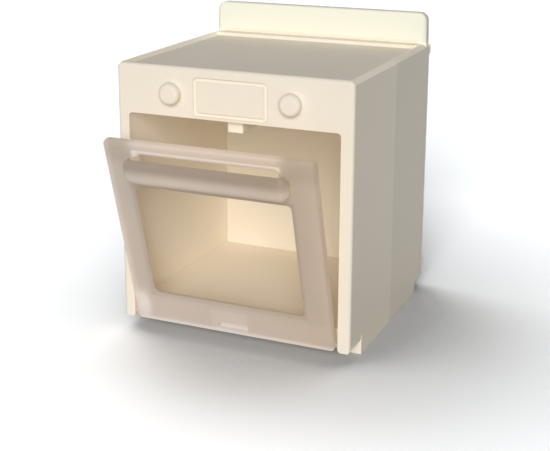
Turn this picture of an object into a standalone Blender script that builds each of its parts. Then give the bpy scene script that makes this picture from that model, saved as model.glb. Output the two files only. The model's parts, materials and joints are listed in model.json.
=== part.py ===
"""Toy oven for a doll's house, modelled as its separate moulded pieces.

Units are metres and +Z is up.  The oven faces -Y.  Every piece is first placed in a working frame:
x runs to the right from the middle, y runs back from the front face of the housing, and z rises from
the ground.  One empty then moves the whole oven, so that the middle of its plan is at the origin.
The front door hangs on a second empty, which lies on the hinge axis and holds the door ajar.
"""
import math

import bmesh
import bpy
from mathutils import Matrix, Vector

# Fits
SEAT_GAP = 0.0003
RUNNING_GAP = 0.00005
OVERRUN = 0.0010
EMBED = 0.0004

# Housing, outside
FRONT_WIDTH = 0.0600
PARTING_DRAFT = 0.0003
REAR_DRAFT = 0.0002
BODY_DEPTH = 0.0583
PARTING_SHARE = 0.506
TOP_HEIGHT = 0.0679
OUTER_ROUND = 0.0009
REAR_ROUND = 0.0004
OUTER_WALL = 0.0013
PANEL_WALL = 0.0020
TOP_WALL = 0.0014

# Housing, hob and splashback
HOB_DROP = 0.0009
HOB_SIDE_RIM = 0.0012
HOB_FRONT_RIM = 0.0012
HOB_LEDGE = 0.0035
HOB_CORNER = 0.0005
SPLASH_REAR_INSET = 0.0005
SPLASH_THICKNESS = 0.0029
SPLASH_RISE = 0.0080
SPLASH_SIDE_INSET = 0.0001
SPLASH_DRAFT = 0.0002
SPLASH_ROOT = 0.0018
SPLASH_CORNER = 0.0015
SPLASH_EDGE_ROUND = 0.0006

# Housing, mouth and oven cavity
STILE_WIDTH = 0.0030
STILE_DEPTH = 0.0100
HEADER_HEIGHT = 0.0120
MOUTH_CORNER = 0.0009
MOUTH_EDGE_ROUND = 0.0004
REAR_SPACE = 0.0088
CAVITY_TAPER = 0.00185
CAVITY_CEILING_DROP = 0.0003
CAVITY_WALL = 0.0010

# Housing, feet and ends
STILE_END_HEIGHT = 0.0033
STILE_END_ROUND = 0.0009
FOOT_START = 0.0082
FOOT_REAR_SPACE = 0.0067
REAR_END_HEIGHT = 0.0033
CORE_FLOOR = 0.0045

# Housing, ribs, pads and bosses
RIB_THICKNESS = 0.0008
TOP_RIB_SHARE = 0.3933
SIDE_RIB_SHARES = (0.280, 0.487, 0.693)
PAD_SIZE = 0.0050
PAD_HEIGHT = 0.0028
FRONT_PAD_PLACE = 0.0125
REAR_PAD_INSET = 0.0040
BOSS_RADIUS = 0.0019
BOSS_PLACE_SHARE = 0.6333
BOSS_HEIGHT_SHARE = 0.487

# Oven floor
FLOOR_TOP = 0.0076
FLOOR_THICKNESS = 0.0012
SILL_HEIGHT = 0.0028
TONGUE_SHARE = 0.5913
TONGUE_REACH = 0.0016
FLOOR_STEP = 0.0001

# Base plate
BASE_THICKNESS = 0.0012
BASE_CORNER = 0.0015
BASE_RIB_HEIGHT = 0.0016
BASE_RIB_SHARE = 0.4333

# Screws
SCREW_SHANK_RADIUS = 0.0007
SCREW_HEAD_RADIUS = 0.0015
SCREW_HEAD_HEIGHT = 0.0006
SCREW_BITE = 0.0036
SCREW_TIP = 0.0007
SCREW_TIP_RADIUS = 0.0002
SCREW_SLOT_WIDTH = 0.0004
SCREW_SLOT_DEPTH = 0.0003

# Rear cover
COVER_INSET = 0.0009
COVER_THICKNESS = 0.0012
COVER_CORNER = 0.0005
EAR_WIDTH = 0.0019
EAR_INSET = 0.0002
UPPER_EAR_DROP = 0.0006
UPPER_EAR_THICKNESS = 0.0006
LOWER_EAR_HEIGHT = 0.0053
LOWER_EAR_TALL = 0.0023
LOWER_EAR_THICKNESS = 0.0012
EAR_ROOT = 0.0030

# Door
DOOR_SIDE_GAP = 0.0008
DOOR_THICKNESS = 0.0020
DOOR_HEAD_GAP = 0.0013
DOOR_CORNER = 0.0012
DOOR_EDGE_ROUND = 0.0005
WINDOW_SIDE = 0.0062
WINDOW_BOTTOM = 0.0090
WINDOW_HEAD = 0.0117
WINDOW_CORNER = 0.0015
WINDOW_EDGE_ROUND = 0.0003
HINGE_PLACE = 0.0012
HINGE_RISE = 0.0014
TRUNNION_RADIUS = 0.0006
TRUNNION_REACH = 0.0015
REST_TILT = math.radians(16.2)

# Door, handle and finger slot
HANDLE_SIDE = 0.0058
HANDLE_HEAD = 0.0037
HANDLE_HEIGHT = 0.0061
HANDLE_REACH = 0.0028
HANDLE_CORNER = 0.0020
HANDLE_ROUND = 0.0018
HANDLE_WALL = 0.0015
FINGER_SLOT_SIDE = 0.0092
FINGER_SLOT_HEAD = 0.0035
FINGER_SLOT_HEIGHT = 0.0049
FINGER_SLOT_CORNER = 0.0010
FINGER_SLOT_EDGE_ROUND = 0.0016

# Door, pads on its inner face and the catch slot through the middle one
DOOR_PAD_THICKNESS = 0.0012
MIDDLE_PAD_WIDTH = 0.0093
MIDDLE_PAD_TOP = 0.0066
CORNER_PAD_WIDTH = 0.0033
CORNER_PAD_TOP = 0.0058
DOOR_PAD_CORNER = 0.0007
SNAP_SLOT_WIDTH = 0.0075
SNAP_SLOT_BOTTOM = 0.0020
SNAP_SLOT_TOP = 0.0032

# Door catch under the mouth's upper edge
CATCH_WIDTH = 0.0039
CATCH_DEPTH = 0.0083
CATCH_HEIGHT = 0.0025
CATCH_EDGE_ROUND = 0.0003
CATCH_PEG_WIDTH = 0.0020
CATCH_PEG_DEPTH = 0.0040
CATCH_PEG_REACH = 0.0008

# Knobs and their clips
KNOB_SHARE = 0.5073
KNOB_DROP = 0.0064
KNOB_RADIUS = 0.00265
KNOB_REACH = 0.0024
KNOB_CLEARANCE = 0.0002
COLLAR_RADIUS = 0.0035
COLLAR_TOP_RADIUS = 0.0025
COLLAR_RISE = 0.0005
KNOB_EDGE_ROUND = 0.0006
KNOB_STEM_RADIUS = 0.00095
CLIP_RADIUS = 0.0019
CLIP_THICKNESS = 0.0006
STEM_REACH = 0.0005

# Display
DISPLAY_SHARE = 0.305
DISPLAY_HEAD_MARGIN = 0.0027
DISPLAY_FOOT_MARGIN = 0.0021
DISPLAY_CORNER = 0.0008
DISPLAY_BEAD = 0.0008
DISPLAY_BEAD_PROUD = 0.0004
DISPLAY_PLATE_THICKNESS = 0.0005
DISPLAY_PEG_RADIUS = 0.0007
DISPLAY_PEG_SHARE = 0.65
DISPLAY_PEG_REACH = 0.0004

# Colours, and how rough each surface is
CREAM = (0.84, 0.78, 0.65)
CREAM_ROUGHNESS = 0.45
FROSTED = (0.62, 0.52, 0.44)
FROSTED_ROUGHNESS = 0.40
CLIP_WHITE = (0.80, 0.80, 0.78)
CLIP_ROUGHNESS = 0.50
STEEL = (0.60, 0.60, 0.62)
STEEL_ROUGHNESS = 0.35
STEEL_METALLIC = 1.0

# Facets
SMOOTH_ANGLE = math.radians(35)
ROUND_PROFILE = 0.5
SMALL_ROUND_STEPS = 2
ROUND_STEPS = 4
CORNER_STEPS = 5
CIRCLE_SIDES = 32
PIN_SIDES = 24

# Places worked out from the sizes above
PARTING_WIDTH = FRONT_WIDTH + 2 * PARTING_DRAFT
REAR_WIDTH = FRONT_WIDTH + 2 * REAR_DRAFT
PARTING_PLACE = PARTING_SHARE * BODY_DEPTH
MOUTH_HALF_WIDTH = FRONT_WIDTH / 2 - STILE_WIDTH
MOUTH_TOP = TOP_HEIGHT - HEADER_HEIGHT
CAVITY_DEPTH = BODY_DEPTH - REAR_SPACE
CAVITY_REAR_WIDTH = 2 * (MOUTH_HALF_WIDTH - CAVITY_TAPER)
CORE_HALF_WIDTH = REAR_WIDTH / 2 - OUTER_WALL
HOB_SURFACE = TOP_HEIGHT - HOB_DROP
SPLASH_PLACE = BODY_DEPTH - SPLASH_REAR_INSET - SPLASH_THICKNESS
SPLASH_BASE_WIDTH = REAR_WIDTH - 2 * SPLASH_SIDE_INSET
SPLASH_TOP_WIDTH = SPLASH_BASE_WIDTH - 2 * SPLASH_DRAFT
HOB_REAR_PLACE = SPLASH_PLACE - HOB_LEDGE
FOOT_END = BODY_DEPTH - FOOT_REAR_SPACE
TOP_RIB_PLACE = TOP_RIB_SHARE * FRONT_WIDTH / 2
REAR_PAD_PLACE = CAVITY_DEPTH - REAR_PAD_INSET
BOSS_PLACE = BOSS_PLACE_SHARE * FRONT_WIDTH / 2
BOSS_HEIGHT = BOSS_HEIGHT_SHARE * TOP_HEIGHT
CORE_TOP = HOB_SURFACE - TOP_WALL
CEILING_TOP = MOUTH_TOP + CAVITY_WALL
BACK_WALL_END = CAVITY_DEPTH + CAVITY_WALL
TONGUE_WIDTH = TONGUE_SHARE * CAVITY_REAR_WIDTH
BASE_RIB_PLACE = BASE_RIB_SHARE * FRONT_WIDTH / 2
FLOOR_UNDERSIDE = FLOOR_TOP - FLOOR_THICKNESS
PAD_TOP = FLOOR_UNDERSIDE - SEAT_GAP
PAD_BOTTOM = PAD_TOP - PAD_HEIGHT
BASE_TOP = PAD_BOTTOM - SEAT_GAP
BASE_UNDERSIDE = BASE_TOP - BASE_THICKNESS
SCREW_HOLE_RADIUS = SCREW_SHANK_RADIUS + SEAT_GAP
COVER_FACE = BODY_DEPTH - COVER_INSET
COVER_BACK = COVER_FACE - COVER_THICKNESS
COVER_SEAT = COVER_BACK - SEAT_GAP
HINGE_HEIGHT = STILE_END_HEIGHT + HINGE_RISE
DOOR_SWEEP = math.hypot(DOOR_THICKNESS + DOOR_PAD_THICKNESS - HINGE_PLACE, HINGE_RISE)
FLOOR_START = HINGE_PLACE + DOOR_SWEEP + SEAT_GAP
DOOR_WIDTH = 2 * (MOUTH_HALF_WIDTH - DOOR_SIDE_GAP)
DOOR_LENGTH = MOUTH_TOP - STILE_END_HEIGHT - DOOR_HEAD_GAP
WINDOW_WIDTH = DOOR_WIDTH - 2 * WINDOW_SIDE
WINDOW_TOP = DOOR_LENGTH - WINDOW_HEAD
HANDLE_WIDTH = DOOR_WIDTH - 2 * HANDLE_SIDE
HANDLE_TOP = DOOR_LENGTH - HANDLE_HEAD
HANDLE_BOTTOM = HANDLE_TOP - HANDLE_HEIGHT
FINGER_SLOT_WIDTH = DOOR_WIDTH - 2 * FINGER_SLOT_SIDE
FINGER_SLOT_TOP = DOOR_LENGTH - FINGER_SLOT_HEAD
FINGER_SLOT_BOTTOM = FINGER_SLOT_TOP - FINGER_SLOT_HEIGHT
CATCH_PLACE = DOOR_THICKNESS + SEAT_GAP
CATCH_TOP = MOUTH_TOP - CAVITY_CEILING_DROP - SEAT_GAP
CATCH_BOTTOM = CATCH_TOP - CATCH_HEIGHT
KNOB_PLACE = KNOB_SHARE * FRONT_WIDTH / 2
KNOB_HEIGHT = TOP_HEIGHT - KNOB_DROP
KNOB_LIFT = COLLAR_RISE + KNOB_CLEARANCE
DISPLAY_WIDTH = DISPLAY_SHARE * FRONT_WIDTH
DISPLAY_TOP = TOP_HEIGHT - DISPLAY_HEAD_MARGIN
DISPLAY_BOTTOM = MOUTH_TOP + DISPLAY_FOOT_MARGIN
DISPLAY_PEG_PLACE = DISPLAY_PEG_SHARE * DISPLAY_WIDTH / 2


def wall_line(place):
    """Half-width of the tapering oven cavity at a distance behind the front face."""
    taper = (MOUTH_HALF_WIDTH - CAVITY_REAR_WIDTH / 2) / CAVITY_DEPTH
    return MOUTH_HALF_WIDTH - taper * place


def clear_scene():
    """Remove whatever the scene holds before the oven is built."""
    for item in list(bpy.data.objects):
        bpy.data.objects.remove(item, do_unlink=True)


def plastic(name, colour, roughness, metallic=0.0):
    """Make one material with a Principled BSDF."""
    finish = bpy.data.materials.new(name)
    finish.use_nodes = True
    shader = finish.node_tree.nodes["Principled BSDF"]
    shader.inputs["Base Color"].default_value = (*colour, 1.0)
    shader.inputs["Roughness"].default_value = roughness
    shader.inputs["Metallic"].default_value = metallic
    finish.diffuse_color = (*colour, 1.0)
    return finish


def put_in_scene(name, mesh_data):
    """Turn a bmesh into an object and free the bmesh."""
    bmesh.ops.recalc_face_normals(mesh_data, faces=mesh_data.faces)
    if mesh_data.calc_volume(signed=True) < 0:
        bmesh.ops.reverse_faces(mesh_data, faces=mesh_data.faces)
    mesh = bpy.data.meshes.new(name)
    mesh_data.to_mesh(mesh)
    mesh_data.free()
    item = bpy.data.objects.new(name, mesh)
    bpy.context.scene.collection.objects.link(item)
    return item


def tool(name, mesh_data):
    """Make a hidden guide object, used only to cut or to join."""
    item = put_in_scene(name, mesh_data)
    item.hide_render = True
    item.display_type = "WIRE"
    return item


def combine(target, operation, *tools):
    """Add Boolean modifiers that cut the tools out of the target or join them to it."""
    for item in tools:
        step = target.modifiers.new(item.name, "BOOLEAN")
        step.operation = operation
        step.solver = "EXACT"
        step.object = item
    return target


def cut(target, *tools):
    """Cut each tool out of the target."""
    return combine(target, "DIFFERENCE", *tools)


def join(target, *tools):
    """Join each tool to the target as one body."""
    return combine(target, "UNION", *tools)


def block(low, high, mesh_data=None):
    """Add a box between two corners to a bmesh, or start a new one with it."""
    mesh_data = mesh_data or bmesh.new()
    low, high = Vector(low), Vector(high)
    size = high - low
    place = Matrix.Translation((low + high) / 2) @ Matrix.Diagonal((*size, 1))
    bmesh.ops.create_cube(mesh_data, size=1, matrix=place)
    return mesh_data


def rod(centre, axis, radius, length, sides=PIN_SIDES, mesh_data=None, tip_radius=None):
    """Add a closed cylinder or cone that starts at a centre and runs along an axis."""
    mesh_data = mesh_data or bmesh.new()
    direction = Vector(axis)
    turn = direction.to_track_quat("Z", "Y").to_matrix().to_4x4()
    place = Matrix.Translation(Vector(centre) + direction * length / 2) @ turn
    far_radius = radius if tip_radius is None else tip_radius
    bmesh.ops.create_cone(mesh_data, cap_ends=True, segments=sides, radius1=radius,
                          radius2=far_radius, depth=length, matrix=place)
    return mesh_data


def round_edges(mesh_data, radius, steps, chosen):
    """Fillet every edge for which the chosen test is true."""
    edges = [edge for edge in mesh_data.edges if chosen(edge)]
    bmesh.ops.bevel(mesh_data, geom=edges, offset=radius, offset_type="OFFSET", segments=steps,
                    profile=ROUND_PROFILE, affect="EDGES", clamp_overlap=True)
    return mesh_data


def runs_along(edge, axis):
    """True for an edge that runs mainly along one axis, given as 0, 1 or 2."""
    run = edge.verts[1].co - edge.verts[0].co
    return abs(run[axis]) > max(abs(run[other]) for other in range(3) if other != axis)


def lies_at(edge, axis, value):
    """True for an edge whose two ends share one coordinate."""
    return all(abs(vert.co[axis] - value) < SEAT_GAP / 100 for vert in edge.verts)


def outline(half_width, bottom, top, corner, square_foot=False):
    """Points of a rounded rectangle in x and z, taken anticlockwise; its foot may stay square."""
    centres = [(half_width - corner, top - corner, 0), (corner - half_width, top - corner, 1)]
    points = []
    if square_foot:
        points += [(-half_width, bottom), (half_width, bottom)]
    else:
        low = bottom + corner
        centres = [(corner - half_width, low, 2), (half_width - corner, low, 3)] + centres
    for x, z, quarter in centres:
        for step in range(CORNER_STEPS + 1):
            angle = (quarter + step / CORNER_STEPS) * math.pi / 2
            points.append((x + corner * math.cos(angle), z + corner * math.sin(angle)))
    return points


def loft(rings, mesh_data=None):
    """Close a solid through rings of 3-D points that all have the same number of points."""
    mesh_data = mesh_data or bmesh.new()
    loops = [[mesh_data.verts.new(point) for point in ring] for ring in rings]
    for near, far in zip(loops, loops[1:]):
        for index in range(len(near)):
            mesh_data.faces.new((near[index - 1], near[index], far[index], far[index - 1]))
    mesh_data.faces.new(reversed(loops[0]))
    mesh_data.faces.new(loops[-1])
    return mesh_data


def along_y(points, place):
    """Stand the points of an outline up at a distance behind the front face."""
    return [(x, place, z) for x, z in points]


def plan_prism(points, bottom, top, mesh_data=None):
    """Raise an outline given in x and y between two heights."""
    rings = [[(x, y, height) for x, y in points] for height in (bottom, top)]
    return loft(rings, mesh_data)


def mirrored(points):
    """The same outline on the other side of the middle."""
    return [(-x, y) for x, y in reversed(points)]


def round_steps(radius, steps=ROUND_STEPS):
    """Pairs of how far in and how far along a quarter round goes, from its flat end."""
    pairs = []
    for step in range(steps + 1):
        angle = step / steps * math.pi / 2
        pairs.append((radius * (1 - math.sin(angle)), radius * (1 - math.cos(angle))))
    return pairs


def drafted_block():
    """Outside of the housing: widest at the parting plane, drafted towards front and rear."""
    shape = block((-FRONT_WIDTH / 2, 0, 0), (FRONT_WIDTH / 2, BODY_DEPTH, TOP_HEIGHT))
    everything = shape.verts[:] + shape.edges[:] + shape.faces[:]
    bmesh.ops.bisect_plane(shape, geom=everything, plane_co=(0, PARTING_PLACE, 0), plane_no=(0, 1, 0))
    for vert in shape.verts:
        if vert.co.y > PARTING_PLACE + OVERRUN:
            vert.co.x *= REAR_WIDTH / FRONT_WIDTH
        elif vert.co.y > OVERRUN:
            vert.co.x *= PARTING_WIDTH / FRONT_WIDTH
    round_edges(shape, OUTER_ROUND, ROUND_STEPS,
                lambda edge: lies_at(edge, 2, TOP_HEIGHT) and runs_along(edge, 1)
                or lies_at(edge, 1, 0) and not lies_at(edge, 2, 0))
    round_edges(shape, REAR_ROUND, SMALL_ROUND_STEPS,
                lambda edge: lies_at(edge, 1, BODY_DEPTH) and not lies_at(edge, 2, 0))
    return shape


def splashback():
    """Upright plate at the back of the hob, a little narrower at its top."""
    shape = block((-SPLASH_BASE_WIDTH / 2, SPLASH_PLACE, TOP_HEIGHT - SPLASH_ROOT),
                  (SPLASH_BASE_WIDTH / 2, SPLASH_PLACE + SPLASH_THICKNESS, TOP_HEIGHT + SPLASH_RISE))
    for vert in shape.verts:
        if vert.co.z > TOP_HEIGHT:
            vert.co.x *= SPLASH_TOP_WIDTH / SPLASH_BASE_WIDTH
    round_edges(shape, SPLASH_CORNER, ROUND_STEPS,
                lambda edge: runs_along(edge, 1) and edge.verts[0].co.z > TOP_HEIGHT)
    foot = TOP_HEIGHT - SPLASH_ROOT
    round_edges(shape, SPLASH_EDGE_ROUND, ROUND_STEPS,
                lambda edge: not runs_along(edge, 1) and not lies_at(edge, 2, foot))
    return shape


def cavity_rings(grow, depth, flare):
    """Rings of the oven cavity, grown outwards by a wall and flared at the mouth."""
    sections = [(-OVERRUN, flare), (0.0, flare)]
    if flare:
        sections += [(along, inward) for inward, along in round_steps(flare)][1:]
    sections.append((depth, 0.0))
    rings = []
    for place, spread in sections:
        share = max(place, 0.0) / depth
        half_width = wall_line(max(place, 0.0)) + grow + spread
        top = MOUTH_TOP - CAVITY_CEILING_DROP * share + grow + spread
        points = outline(half_width, -OVERRUN, top, MOUTH_CORNER + grow + spread, square_foot=True)
        rings.append(along_y(points, place))
    return rings


def rear_core():
    """Space between the outer walls and the oven cavity, open at the rear."""
    end = BODY_DEPTH + OVERRUN
    side_view = [(PANEL_WALL, CEILING_TOP + EMBED), (STILE_DEPTH, CEILING_TOP + EMBED),
                 (STILE_DEPTH, CORE_FLOOR), (end, CORE_FLOOR), (end, CORE_TOP), (PANEL_WALL, CORE_TOP)]
    core = tool("rear_core", loft([[(x, y, z) for y, z in side_view]
                                   for x in (-CORE_HALF_WIDTH, CORE_HALF_WIDTH)]))
    shell = tool("cavity_shell", loft(cavity_rings(CAVITY_WALL, BACK_WALL_END, 0.0)))
    return cut(core, shell)


def foot_and_end_cuts():
    """Cutters under the housing: between the feet, at the stile ends and at the rear end."""
    inner = CAVITY_REAR_WIDTH / 2
    outer = PARTING_WIDTH / 2 + OVERRUN
    shape = block((-inner, CAVITY_DEPTH - OVERRUN, -OVERRUN), (inner, BODY_DEPTH + OVERRUN, REAR_END_HEIGHT))
    between = tool("between_feet", shape)
    shape = block((-outer, FOOT_END, -OVERRUN), (outer, BODY_DEPTH + OVERRUN, REAR_END_HEIGHT))
    rear_end = tool("rear_end", shape)
    edge_in, edge_out = MOUTH_HALF_WIDTH, FRONT_WIDTH / 2
    points = [(edge_in - OVERRUN, -OVERRUN), (edge_out + OVERRUN, -OVERRUN),
              (edge_out + OVERRUN, STILE_END_HEIGHT + STILE_END_ROUND)]
    low = STILE_END_HEIGHT + STILE_END_ROUND
    for centre, first in ((edge_out - STILE_END_ROUND, 0), (edge_in + STILE_END_ROUND, 1)):
        for step in range(ROUND_STEPS + 1):
            angle = (first + step / ROUND_STEPS) * math.pi / 2
            points.append((centre + STILE_END_ROUND * math.cos(angle),
                           low - STILE_END_ROUND * math.sin(angle)))
    points.append((edge_in - OVERRUN, low))
    shape = bmesh.new()
    for side in (points, mirrored(points)):
        loft([along_y(side, place) for place in (-OVERRUN, FOOT_START)], shape)
    stile_ends = tool("stile_ends", shape)
    return between, rear_end, stile_ends


def housing_ribs():
    """Stiffening ribs between the outer walls and the cavity, which also seat the rear cover."""
    shape = bmesh.new()
    half = RIB_THICKNESS / 2
    for x in (-TOP_RIB_PLACE, TOP_RIB_PLACE):
        block((x - half, PANEL_WALL - EMBED, MOUTH_TOP + CAVITY_WALL / 2),
              (x + half, COVER_SEAT, CORE_TOP + EMBED), shape)
    inset = CAVITY_WALL / 2
    plan = [(wall_line(STILE_DEPTH) + inset, STILE_DEPTH - EMBED),
            (CORE_HALF_WIDTH + EMBED, STILE_DEPTH - EMBED), (CORE_HALF_WIDTH + EMBED, COVER_SEAT),
            (wall_line(CAVITY_DEPTH) + inset, COVER_SEAT)]
    for share in SIDE_RIB_SHARES:
        height = share * TOP_HEIGHT
        for points in (plan, mirrored(plan)):
            plan_prism(points, height - half, height + half, shape)
    return tool("housing_ribs", shape)


def floor_pads():
    """Four pads low in the cavity that carry the floor and take the base screws."""
    shape = bmesh.new()
    half = PAD_SIZE / 2
    for middle in (FRONT_PAD_PLACE, REAR_PAD_PLACE):
        near, far = middle - half, middle + half
        root = CAVITY_WALL / 2
        plan = [(wall_line(near) - PAD_SIZE, near), (wall_line(near) + root, near),
                (wall_line(far) + root, far), (wall_line(near) - PAD_SIZE, far)]
        for points in (plan, mirrored(plan)):
            plan_prism(points, PAD_BOTTOM, PAD_TOP, shape)
    return tool("floor_pads", shape)


def base_screw_places():
    """Plan positions of the four base screws, each in the middle of its pad."""
    places = []
    for middle in (FRONT_PAD_PLACE, REAR_PAD_PLACE):
        x = wall_line(middle - PAD_SIZE / 2) - PAD_SIZE / 2
        places += [(-x, middle), (x, middle)]
    return places


def cover_bosses():
    """Two bosses on the back of the cavity for the screws of the rear cover."""
    shape = bmesh.new()
    for x in (-BOSS_PLACE, BOSS_PLACE):
        rod((x, BACK_WALL_END - EMBED, BOSS_HEIGHT), (0, 1, 0), BOSS_RADIUS,
            COVER_SEAT - BACK_WALL_END + EMBED, CIRCLE_SIDES, shape)
    return tool("cover_bosses", shape)


def housing_holes():
    """Screw holes, hinge bores, knob bores and display peg holes."""
    shape = bmesh.new()
    for x, y in base_screw_places():
        rod((x, y, PAD_BOTTOM - OVERRUN), (0, 0, 1), SCREW_HOLE_RADIUS,
            PAD_HEIGHT + 2 * OVERRUN, PIN_SIDES, shape)
    for x in (-BOSS_PLACE, BOSS_PLACE):
        rod((x, BACK_WALL_END + SEAT_GAP, BOSS_HEIGHT), (0, 1, 0), SCREW_HOLE_RADIUS,
            COVER_SEAT - BACK_WALL_END, PIN_SIDES, shape)
    bore_start = MOUTH_HALF_WIDTH - OVERRUN
    bore_length = OVERRUN + TRUNNION_REACH + SEAT_GAP
    for side in (-1, 1):
        rod((side * bore_start, HINGE_PLACE, HINGE_HEIGHT), (side, 0, 0),
            TRUNNION_RADIUS + RUNNING_GAP, bore_length, PIN_SIDES, shape)
        rod((side * KNOB_PLACE, -OVERRUN, KNOB_HEIGHT), (0, 1, 0), KNOB_STEM_RADIUS + RUNNING_GAP,
            PANEL_WALL + 2 * OVERRUN, PIN_SIDES, shape)
    return tool("housing_holes", shape)


def display_pocket():
    """Shallow pocket in the front panel with two peg holes."""
    grow = SEAT_GAP
    depth = DISPLAY_PLATE_THICKNESS + SEAT_GAP
    points = outline(DISPLAY_WIDTH / 2 + grow, DISPLAY_BOTTOM - grow, DISPLAY_TOP + grow,
                     DISPLAY_CORNER + grow)
    shape = loft([along_y(points, -OVERRUN), along_y(points, depth)])
    return tool("display_pocket", shape)


def display_peg_holes():
    """Two round holes behind the display pocket."""
    shape = bmesh.new()
    for x in (-DISPLAY_PEG_PLACE, DISPLAY_PEG_PLACE):
        rod((x, 0, (DISPLAY_BOTTOM + DISPLAY_TOP) / 2), (0, 1, 0), DISPLAY_PEG_RADIUS + SEAT_GAP,
            PANEL_WALL + OVERRUN, PIN_SIDES, shape)
    return tool("display_peg_holes", shape)


def knob_collars():
    """Two low cones on the front panel that the knobs turn on."""
    shape = bmesh.new()
    root_radius = COLLAR_RADIUS + (COLLAR_RADIUS - COLLAR_TOP_RADIUS) * EMBED / COLLAR_RISE
    for x in (-KNOB_PLACE, KNOB_PLACE):
        rod((x, EMBED, KNOB_HEIGHT), (0, -1, 0), root_radius, EMBED + COLLAR_RISE, CIRCLE_SIDES, shape,
            COLLAR_TOP_RADIUS)
    return tool("knob_collars", shape)


def housing_openings():
    """Slot for the floor's tongue and hole for the catch's peg."""
    shape = bmesh.new()
    half = TONGUE_WIDTH / 2 + SEAT_GAP
    block((-half, CAVITY_DEPTH - OVERRUN, FLOOR_UNDERSIDE - SEAT_GAP),
          (half, BACK_WALL_END + OVERRUN, FLOOR_TOP + SEAT_GAP), shape)
    half = CATCH_PEG_WIDTH / 2 + SEAT_GAP
    middle = CATCH_PLACE + CATCH_DEPTH / 2
    reach = CATCH_PEG_DEPTH / 2 + SEAT_GAP
    block((-half, middle - reach, MOUTH_TOP - OVERRUN), (half, middle + reach, CEILING_TOP + OVERRUN), shape)
    return tool("housing_openings", shape)


def body_housing():
    """Double-walled moulding: front frame, sides, hob, splashback, feet and oven cavity."""
    housing = put_in_scene("body_housing", drafted_block())
    join(housing, tool("splashback", splashback()))
    hob = block((HOB_SIDE_RIM - FRONT_WIDTH / 2, HOB_FRONT_RIM, HOB_SURFACE),
                (FRONT_WIDTH / 2 - HOB_SIDE_RIM, HOB_REAR_PLACE, TOP_HEIGHT + OVERRUN))
    round_edges(hob, HOB_CORNER, SMALL_ROUND_STEPS, lambda edge: runs_along(edge, 2))
    cavity = tool("oven_cavity", loft(cavity_rings(0.0, CAVITY_DEPTH, MOUTH_EDGE_ROUND)))
    cut(housing, tool("hob_recess", hob), rear_core(), cavity, *foot_and_end_cuts())
    join(housing, housing_ribs(), floor_pads(), cover_bosses(), knob_collars())
    cut(housing, display_pocket(), display_peg_holes(), housing_holes(), housing_openings())
    return housing


def tapered_plan(near, far, gap=SEAT_GAP):
    """Plan of a panel that lies between the tapering cavity walls with a gap on both sides."""
    return [(gap - wall_line(near), near), (wall_line(near) - gap, near),
            (wall_line(far) - gap, far), (gap - wall_line(far), far)]


def oven_floor():
    """Floor panel with a sill at its front edge and a tongue that enters the back wall."""
    end = CAVITY_DEPTH - SEAT_GAP
    floor = put_in_scene("oven_floor", plan_prism(tapered_plan(FLOOR_START, end), FLOOR_UNDERSIDE, FLOOR_TOP))
    sill_plan = tapered_plan(FLOOR_START, FLOOR_START + FLOOR_THICKNESS, SEAT_GAP + FLOOR_STEP)
    sill = plan_prism(sill_plan, FLOOR_UNDERSIDE - SILL_HEIGHT, FLOOR_TOP - EMBED)
    half = TONGUE_WIDTH / 2
    tongue = block((-half, end - EMBED, FLOOR_UNDERSIDE + FLOOR_STEP),
                   (half, end + TONGUE_REACH, FLOOR_TOP - FLOOR_STEP))
    return join(floor, tool("floor_sill", sill), tool("floor_tongue", tongue))


def base_plate():
    """Plate between the feet, screwed up against the pads, with two stiffening ribs."""
    near, far = FOOT_START + SEAT_GAP, CAVITY_DEPTH - SEAT_GAP
    shape = plan_prism(tapered_plan(near, far), BASE_UNDERSIDE, BASE_TOP)
    round_edges(shape, BASE_CORNER, ROUND_STEPS, lambda edge: runs_along(edge, 2))
    plate = put_in_scene("base_plate", shape)
    ribs = bmesh.new()
    half = RIB_THICKNESS / 2
    for x in (-BASE_RIB_PLACE, BASE_RIB_PLACE):
        block((x - half, near + BASE_CORNER, BASE_TOP - EMBED),
              (x + half, far - BASE_CORNER, BASE_TOP + BASE_RIB_HEIGHT), ribs)
    holes = bmesh.new()
    for x, y in base_screw_places():
        rod((x, y, BASE_UNDERSIDE - OVERRUN), (0, 0, 1), SCREW_HOLE_RADIUS,
            BASE_THICKNESS + 2 * OVERRUN, PIN_SIDES, holes)
    return cut(join(plate, tool("base_ribs", ribs)), tool("base_holes", holes))


def turned(profile, place=None, sides=CIRCLE_SIDES):
    """Turn pairs of radius and height about +Z, then set the solid at a place."""
    rings = []
    for radius, height in profile:
        angles = [index * 2 * math.pi / sides for index in range(sides)]
        rings.append([(radius * math.cos(angle), radius * math.sin(angle), height) for angle in angles])
    shape = loft(rings)
    if place:
        shape.transform(place)
    return shape


def screw(name):
    """Slotted pan-head screw that points along +Z, with the underside of its head at the origin."""
    half = SCREW_SLOT_WIDTH / 2
    edge = SCREW_HEAD_RADIUS - SCREW_SLOT_DEPTH
    profile = [(edge, -SCREW_HEAD_HEIGHT), (SCREW_HEAD_RADIUS, SCREW_SLOT_DEPTH - SCREW_HEAD_HEIGHT),
               (SCREW_HEAD_RADIUS, 0), (SCREW_SHANK_RADIUS, 0), (SCREW_SHANK_RADIUS, SCREW_BITE),
               (SCREW_TIP_RADIUS, SCREW_BITE + SCREW_TIP)]
    item = put_in_scene(name, turned(profile, sides=PIN_SIDES))
    slot = block((-SCREW_HEAD_RADIUS - OVERRUN, -half, -SCREW_HEAD_HEIGHT - OVERRUN),
                 (SCREW_HEAD_RADIUS + OVERRUN, half, SCREW_SLOT_DEPTH - SCREW_HEAD_HEIGHT))
    slot_tool = tool(name + "_slot", slot)
    slot_tool.parent = item
    return cut(item, slot_tool)


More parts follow.
